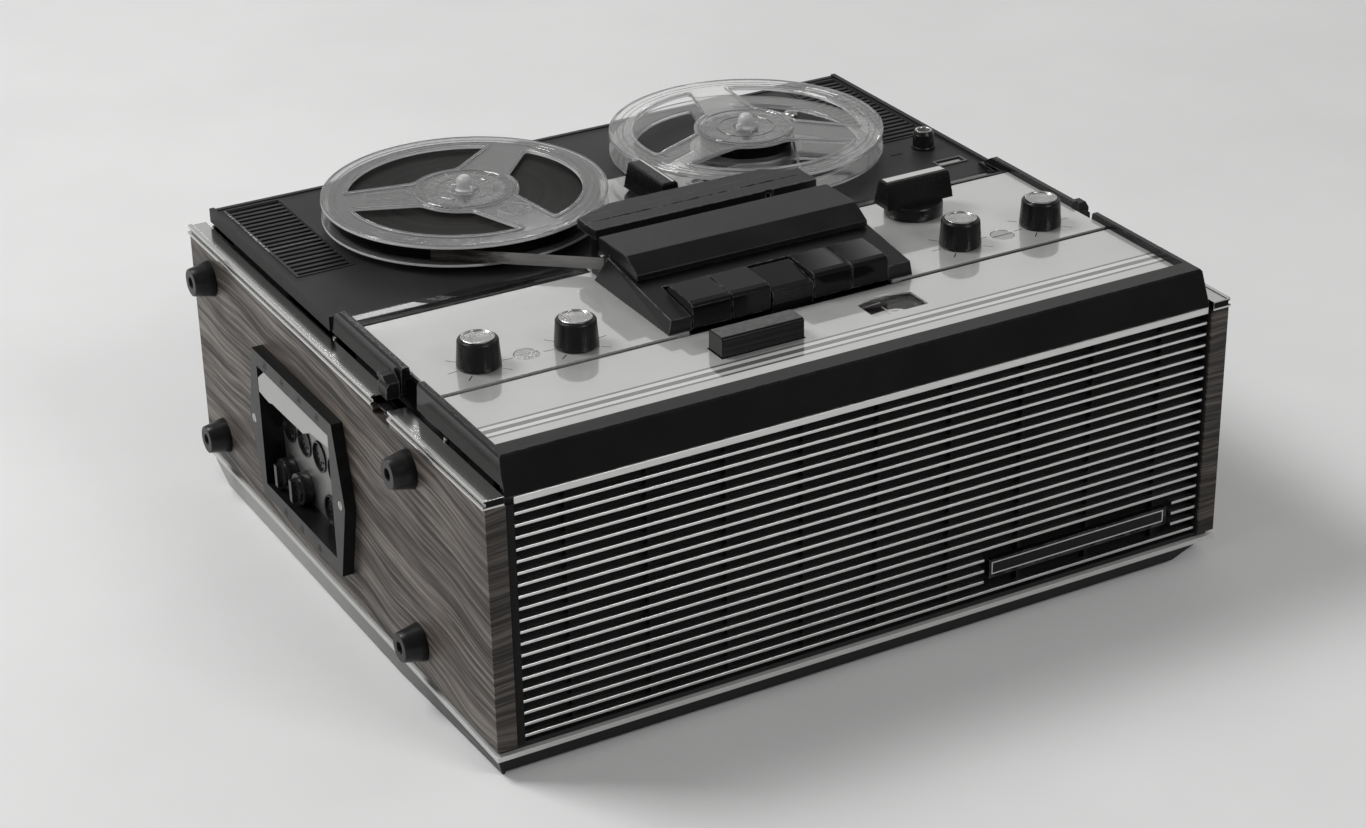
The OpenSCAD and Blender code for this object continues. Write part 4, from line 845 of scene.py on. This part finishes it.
def reel(name, x, a0, mat, body, label):
    bm = bmesh.new()
    base = math.radians(a0 + 60)
    wins = [spun(window(), base + 2 * math.pi * k / 3) for k in range(3)]
    for z0, z1 in ((ZFL, ZFL + 1.6), (ZFU, ZFU + 1.6)):
        add_mesh(bm, plate([circle(RR, 160), circle(20.9, 96)] + wins, z0, z1, 0.35))
    # lip round every window, on the outer side of each flange
    for k in range(3):
        a = base + 2 * math.pi * k / 3
        lip = [spun(window(1.7), a), spun(window(0.02), a)]
        add_mesh(bm, plate(lip, ZFU + 1.56, ZFU + 2.35, 0.3))
        add_mesh(bm, plate(lip, ZFL - 0.5, ZFL + 0.04, 0.2))
    # rim and two fine rings of the upper flange
    t = ZFU + 1.6
    add_lathe(bm, [(RR - 1.6, t - 0.05), (RR - 1.5, t + 0.35), (RR - 1.2, t + 0.5), (RR - 0.35, t + 0.5), (RR - 0.05, t + 0.2), (RR - 0.05, t - 0.05)], 160, closed=True)
    for r in (66.0, 68.9):
        add_lathe(bm, [(r - 0.45, t - 0.05), (r - 0.2, t + 0.22), (r + 0.2, t + 0.22), (r + 0.45, t - 0.05)], 160, closed=True)
    # hub: top disc with a raised rim, an inner ring and a well round the spindle
    add_lathe(bm, [(25.6, t - 0.05), (25.6, t + 0.65), (25.2, t + 0.95), (24.2, t + 0.95), (23.8, t + 0.6), (15.6, t + 0.55), (15.3, t + 0.8), (14.7, t + 0.8), (14.4, t + 0.5),
                   (8.2, t + 0.4), (8.0, t + 0.7), (6.9, t + 0.7), (6.6, t + 0.3), (6.4, t - 1.0), (6.4, t - 1.8), (20.0, t - 1.8), (20.2, t - 0.05)], 128, closed=True)
    # hub wall
    add_lathe(bm, [(20.2, ZFL + 0.1), (21.0, ZFL + 0.1), (21.0, t - 0.1), (20.2, t - 0.1)], 128, closed=True)
    add_lathe(bm, [(7.2, ZFL + 0.2), (8.4, ZFL + 0.2), (8.4, t - 1.9), (7.2, t - 1.9)], 64, closed=True)
    # ribs on the hub disc
    for i in range(18):
        a = 2 * math.pi * (i + 0.5) / 18
        r = 19.2 if i % 3 else 18.4
        add_prism(bm, rect(r * math.cos(a), r * math.sin(a), 7.2 if i % 3 else 9.0, 0.55, a), t + 0.45, t + 0.86, taper=0.12)
    for i in range(9):
        a = 2 * math.pi * (i + 0.2) / 9
        add_prism(bm, rect(11.3 * math.cos(a), 11.3 * math.sin(a), 5.0, 0.5, a), t + 0.35, t + 0.68, taper=0.12)
    # spokes inside the hub
    for i in range(6):
        a = math.radians(a0 + 30 + 60 * i)
        add_prism(bm, rect(14.4 * math.cos(a), 14.4 * math.sin(a), 11.8, 1.0, a), ZFL + 0.4, t - 1.9)
    # tape-end notch at the edge of the hub disc
    for d in (-0.16, -0.06, 0.05, 0.18, 0.30):
        a = math.radians(a0 - 180) + d
        add_prism(bm, rect(26.8 * math.cos(a), 26.8 * math.sin(a), 2.0, 1.5, a), t - 0.05, t + 0.75, taper=0.2)
    arm = math.radians(a0 + 120)
    c, s = math.cos(arm), math.sin(arm)
    if label == "outline":
        # bare label frame with one pointed end, and a ring with three bars on the next arm
        pts = [(50.8, -7.0), (50.8, 3.0), (29.5, 3.0), (27.0, -2.0), (29.5, -7.0)]
        inner = [(50.2, -6.4), (50.2, 2.4), (29.8, 2.4), (27.8, -2.0), (29.8, -6.4)]
        add_prism(bm, spun(pts, arm), t - 0.05, t + 0.24, hole=spun(inner, arm))
        q = math.radians(a0 - 116)
        px, py = 38.2 * math.cos(q), 38.2 * math.sin(q)
        add_lathe(bm, [(7.3, t - 0.05), (7.4, t + 0.24), (7.8, t + 0.24), (7.9, t - 0.05)], 48, centre=(px, py), closed=True)
        for d in (-3.0, 0.0, 3.0):
            add_prism(bm, rect(px + d * math.cos(q + 1.571), py + d * math.sin(q + 1.571), 6.4, 0.9, q), t - 0.05, t + 0.26, taper=0.1)
    else:
        cx, cy = 53.0 * math.cos(arm - 0.11), 53.0 * math.sin(arm - 0.11)
        add_prism(bm, rect(cx, cy, 15.5, 8.0, arm - 0.05), t - 0.05, t + 0.3, hole=rect(cx, cy, 14.3, 6.8, arm - 0.05))
        add_prism(bm, rect(cx, cy, 11.0, 3.4, arm - 0.05), t - 0.05, t + 0.22, taper=0.2)
    return finish_mesh(bm, name, mat, body, (x, YS, 0), replaces=[body], sharp=13)


reel("supply_reel_moulding", XS, 43, MATS["reel_frosted"], "supply_reel", "outline")
reel("takeup_reel_moulding", XT, 80, MATS["reel_clear"], "takeup_reel", "pad")

# rounded spindle noses with their three wings
for nm, x, a0 in (("supply", XS, 43), ("takeup", XT, 80)):
    bm = bmesh.new()
    z = ZFU + 1.9
    add_lathe(bm, [(0, z - 1), (5.4, z - 1), (5.4, z + 0.5), (4.6, z + 1.1), (4.35, z + 2.0), (4.2, z + 3.6), (3.9, z + 5.2), (3.3, z + 6.4), (2.4, z + 7.2), (1.2, z + 7.55), (0, z + 7.6)], 48)
    for k in range(3):
        a = math.radians(a0 + 120 * k)
        add_prism(bm, rect(5.2 * math.cos(a), 5.2 * math.sin(a), 3.6, 1.5, a), z - 0.8, z + 3.0, taper=0.35)
    finish_mesh(bm, nm + "_spindle_nose", MATS["spindle_pale"], nm + "_table", (x, YS, 0), bevel=0.15, sharp=40)

# ------------------------------------------------------------------ knob caps
KP = [(-154.3, -77.4), (-106.2, -81.4), (109.7, -77.1), (158.1, -76.8)]
KH = 0.0


def cap(name, x, y, z, r, body, turn=0.0):
    bm = bmesh.new()
    prof = [(r + 1.25, z - 0.55), (r + 1.25, z + 0.02), (r + 0.95, z + 0.26), (r + 0.35, z + 0.28), (r + 0.05, z + 0.05), (r, z - 0.22)]
    n = 9
    for i in range(n):
        q = r - 0.25 - (r - 0.25) * i / n
        dish = -0.24 + 0.03 * (1 - (q / r) ** 2)
        prof += [(q, z + dish), (q - 0.10, z + dish + 0.012)]
    prof += [(0, z - 0.21), ]
    low = [(0, z - 0.7), (r + 1.0, z - 0.7)]
    add_lathe(bm, low[::1] + prof, 96)
    return finish_mesh(bm, name, MATS["cap_spun"], body, (x, y, 0), sharp=50)


knob_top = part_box("knob_1")[1].z / MM
for i, (x, y) in enumerate(KP):
    cap(f"knob_cap_{i + 1}", x, y, knob_top, 6.7, f"knob_{i + 1}")
cap("reset_knob_cap", 172.0, 50.4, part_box("reset_knob")[1].z / MM + 0.1, 3.3, "reset_knob")

# ------------------------------------------------------------------ printed marks on the panels
bm = bmesh.new()
for (x, y), angs in zip(KP, ((133.5, -175.2, -131.3, -5.5, -48.5), (130.0, 175.2, -141.0, 6.0, -40.0), (129.0, 180.0, -134.0, 2.0, -41.7), (135.5, -177.0, -133.2, -3.8, -47.5))):
    for a in angs:
        a = math.radians(a)
        add_prism(bm, rect(x + 14.0 * math.cos(a), y + 14.0 * math.sin(a), 5.0, 0.55, a), ZC - 0.02, ZC + 0.03)
for y0, y1 in ((-135.1, -133.6), (-141.2, -137.9), (-145.4, -143.9)):
    add_prism(bm, [(-183.9, y0), (183.9, y0), (183.9, y1), (-183.9, y1)], ZC - 0.42, ZC - 0.36, mat=1)
finish_mesh(bm, "panel_marks", [MATS["ink_black"], MATS["ink_grey"]], "case", sharp=30)
bm = bmesh.new()
for y0, y1 in ((-137.85, -135.15), (-143.85, -141.25)):
    add_prism(bm, [(-183.9, y0), (183.9, y0), (183.9, y1), (-183.9, y1)], ZC - 0.42, ZC - 0.37)
finish_mesh(bm, "panel_bright_lines", MATS["panel_polished"], "case", sharp=30)

# ------------------------------------------------------------------ pale inlays on top of the bar knobs
for nm, x, y, turn in (("selector", 112.6, -30.4, 0.0), ("speed_knob", 7.2, 51.8, 90.0)):
    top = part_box(nm)[1].z / MM
    a = math.radians(turn)
    bm = bmesh.new()
    w = 4.6 if nm == "selector" else 1.1
    off = 0.6 if nm == "selector" else -2.4
    n = 14
    low, high = [], []
    for side in (-1, 1):
        for i in range(n + 1):
            t = -17.2 + 34.4 * i / n
            px, py = t, off + side * w / 2
            crown = 0.05 * (1 - (t / 17.2) ** 2)
            low.append(bm.verts.new((px * math.cos(a) - py * math.sin(a), px * math.sin(a) + py * math.cos(a), top - 0.3)))
            high.append(bm.verts.new((px * math.cos(a) - py * math.sin(a), px * math.sin(a) + py * math.cos(a), top + 0.03 + crown)))
    m1 = n + 1
    for i in range(n):
        bm.faces.new((high[i], high[i + 1], high[m1 + i + 1], high[m1 + i]))
        bm.faces.new((low[i], low[i + 1], low[m1 + i + 1], low[m1 + i]))
        for o in (0, m1):
            bm.faces.new((low[o + i], low[o + i + 1], high[o + i + 1], high[o + i]))
    for i in (0, n):
        bm.faces.new((low[i], low[m1 + i], high[m1 + i], high[i]))
    finish_mesh(bm, nm + "_inlay", MATS["stripe_pale"], nm, (x, y, 0), sharp=40)

# ------------------------------------------------------------------ thin raised frame of the badge plate
lo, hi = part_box("badge_plate")
x0, x1, z0, z1 = lo.x / MM + 1.9, hi.x / MM - 1.9, lo.z / MM + 1.9, hi.z / MM - 1.9
yb0 = lo.y / MM + 0.36
bm = bmesh.new()
for ins in (0.0,):
    for (ax, az), (bx, bz) in (((x0, z0), (x1, z0)), ((x1, z0), (x1, z1)), ((x1, z1), (x0, z1)), ((x0, z1), (x0, z0))):
        hx, hz = (0.0, 0.27) if abs(ax - bx) > abs(az - bz) else (0.27, 0.0)
        xs0, xs1 = min(ax, bx) - 0.27, max(ax, bx) + 0.27
        zs0, zs1 = min(az, bz) - 0.27, max(az, bz) + 0.27
        if hx:
            zs0, zs1 = min(az, bz) + 0.27, max(az, bz) - 0.27
        k = 12
        for i in range(k):
            u0 = xs0 + (xs1 - xs0) * i / k
            u1 = xs0 + (xs1 - xs0) * (i + 1) / k
            if hx and i:
                break
            if hx:
                u1 = xs1
            v = [bm.verts.new(p) for p in ((u0, yb0, zs0), (u1, yb0, zs0), (u1, yb0, zs1), (u0, yb0, zs1),
                                           (u0, yb0 + 0.5, zs0), (u1, yb0 + 0.5, zs0), (u1, yb0 + 0.5, zs1), (u0, yb0 + 0.5, zs1))]
            for f in ((0, 1, 2, 3), (7, 6, 5, 4), (0, 4, 5, 1), (1, 5, 6, 2), (2, 6, 7, 3), (3, 7, 4, 0)):
                bm.faces.new([v[j] for j in f])
bmesh.ops.remove_doubles(bm, verts=bm.verts, dist=0.001)
finish_mesh(bm, "badge_frame", MATS["stripe_pale"], "case", sharp=40)

# ------------------------------------------------------------------ connector bezel: ring marks over and under the opening
bm = bmesh.new()
xf = -206.0
for y, z in [(yy - 176.0, 107.7) for yy in (241, 219, 197, 175)] + [(yy - 176.0, 31.5) for yy in (228, 207.6, 185)]:
    add_lathe(bm, [(1.15, xf - 0.05), (1.15, xf - 0.16), (2.25, xf - 0.16), (2.25, xf - 0.05)], 32, centre=(y, z), closed=True, axis="x")
    add_lathe(bm, [(0, xf - 0.05), (0.45, xf - 0.05), (0.45, xf - 0.14), (0, xf - 0.14)], 12, centre=(y, z), axis="x")
finish_mesh(bm, "socket_marks", MATS["knob_black"], "case", sharp=40)

# ------------------------------------------------------------------ meter: dial plate with its scale
lo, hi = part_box("meter_case")
zd0 = hi.z / MM - 3.75
bm = bmesh.new()
hub = (43.0, -129.6)
outer = [(27.8, -132.8), (58.4, -132.8), (58.4, -107.2), (27.8, -107.2)]
ring = [(hub[0] + 1.95 * math.cos(2 * math.pi * i / 24), hub[1] + 1.95 * math.sin(2 * math.pi * i / 24)) for i in range(24)]
base_me = plate([outer, ring], zd0 - 0.25, zd0, 0.04, res=0)
add_mesh(bm, base_me, 0)


def arc_band(r0, r1, a0, a1, z0, z1, mat, n=28):
    pts = [(hub[0] + r0 * math.sin(math.radians(a0 + (a1 - a0) * i / n)), hub[1] + r0 * math.cos(math.radians(a0 + (a1 - a0) * i / n))) for i in range(n + 1)]
    pts += [(hub[0] + r1 * math.sin(math.radians(a1 - (a1 - a0) * i / n)), hub[1] + r1 * math.cos(math.radians(a1 - (a1 - a0) * i / n))) for i in range(n + 1)]
    add_prism(bm, pts, z0, z1, mat=mat)


band = [(28.4, -115.4), (31.0, -114.2), (35.0, -113.1), (40.0, -112.4), (44.5, -112.2), (48.5, -112.8), (51.0, -114.4), (52.3, -117.0), (52.8, -121.0), (28.4, -121.0)]
add_prism(bm, band[::-1], zd0 - 0.01, zd0 + 0.05, mat=1)
for i in range(16):
    x = 33.2 + 1.15 * i
    add_prism(bm, [(x, -119.3), (x + 0.30 + 0.024 * i, -119.3), (x + 0.30 + 0.024 * i, -118.5 + 0.03 * i), (x, -118.5 + 0.03 * i)], zd0 + 0.04, zd0 + 0.10, mat=0)
line = [(28.8, -118.0), (36.0, -116.7), (44.0, -116.2), (50.0, -116.9), (50.0, -117.1), (44.0, -116.45), (36.0, -116.95), (28.8, -118.25)]
add_prism(bm, line[::-1], zd0 + 0.04, zd0 + 0.09, mat=0)
# pale graduation on the rear wall of the case, seen through the window
for i in range(11):
    x = 30.2 + 1.25 * i
    add_prism(bm, [(x, -107.22), (x + 0.8, -107.22), (x + 0.8, -107.02), (x, -107.02)], zd0 + 1.2 + 0.07 * i, zd0 + 1.75 + 0.07 * i, mat=1)
finish_mesh(bm, "meter_dial", [MATS["dial_dark"], MATS["dial_pale"]], "case", sharp=40)

# ------------------------------------------------------------------ dust cloth behind the air slots of the rear cover
lo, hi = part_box("rear_cover")
bm = bmesh.new()
add_prism(bm, [(-152.5, 70.5), (-14.0, 70.5), (-14.0, 117.5), (-152.5, 117.5)], 0.0, 0.35)
for v in bm.verts:
    v.co = (v.co.x, lo.y / MM - 0.15 - v.co.z, v.co.y)
finish_mesh(bm, "vent_cloth", MATS["knob_black"], "case", sharp=40)

# ------------------------------------------------------------------ counter: domed pane in its window
bm = bmesh.new()
nx, ny = 24, 8
grid = []
for j in range(ny + 1):
    row = []
    for i in range(nx + 1):
        u, v = -1 + 2 * i / nx, -1 + 2 * j / ny
        row.append(bm.verts.new((172.5 + 7.3 * u, 25.5 + 2.5 * v, ZD - 0.75 + 0.5 * (1 - v * v) * (1 - u ** 8))))
    grid.append(row)
for j in range(ny):
    for i in range(nx):
        bm.faces.new((grid[j][i], grid[j][i + 1], grid[j + 1][i + 1], grid[j + 1][i]))
edge = grid[0][:] + [grid[j][nx] for j in range(1, ny + 1)] + [grid[ny][i] for i in range(nx - 1, -1, -1)] + [grid[j][0] for j in range(ny - 1, 0, -1)]
low = [bm.verts.new((v.co.x, v.co.y, ZD - 1.4)) for v in edge]
for i in range(len(edge)):
    j = (i + 1) % len(edge)
    bm.faces.new((edge[i], edge[j], low[j], low[i]))
bm.faces.new(low)
finish_mesh(bm, "counter_pane", MATS["lens_grey"], "case", sharp=50)

# ------------------------------------------------------------------ floor
bm = bmesh.new()
for p in ((-6, -6), (6, -6), (6, 8), (-6, 8)):
    bm.verts.new((p[0], p[1], -0.0002))
bm.faces.new(bm.verts)
me = bpy.data.meshes.new("floor")
bm.to_mesh(me)
bm.free()
floor = bpy.data.objects.new("floor", me)
scene.collection.objects.link(floor)
fm = Mat("floor_paper", rough=0.85, spec=0.2)
c = fm.coords()
fm.link(fm.ramp(fm.noise(c, 3.0, 4.0, 0.6), [(0.3, 0.70), (0.7, 0.765)]), "color")
fm.bump(fm.noise(c, 220.0, 4.0, 0.6), 0.12, 0.0006)
me.materials.append(fm.m)
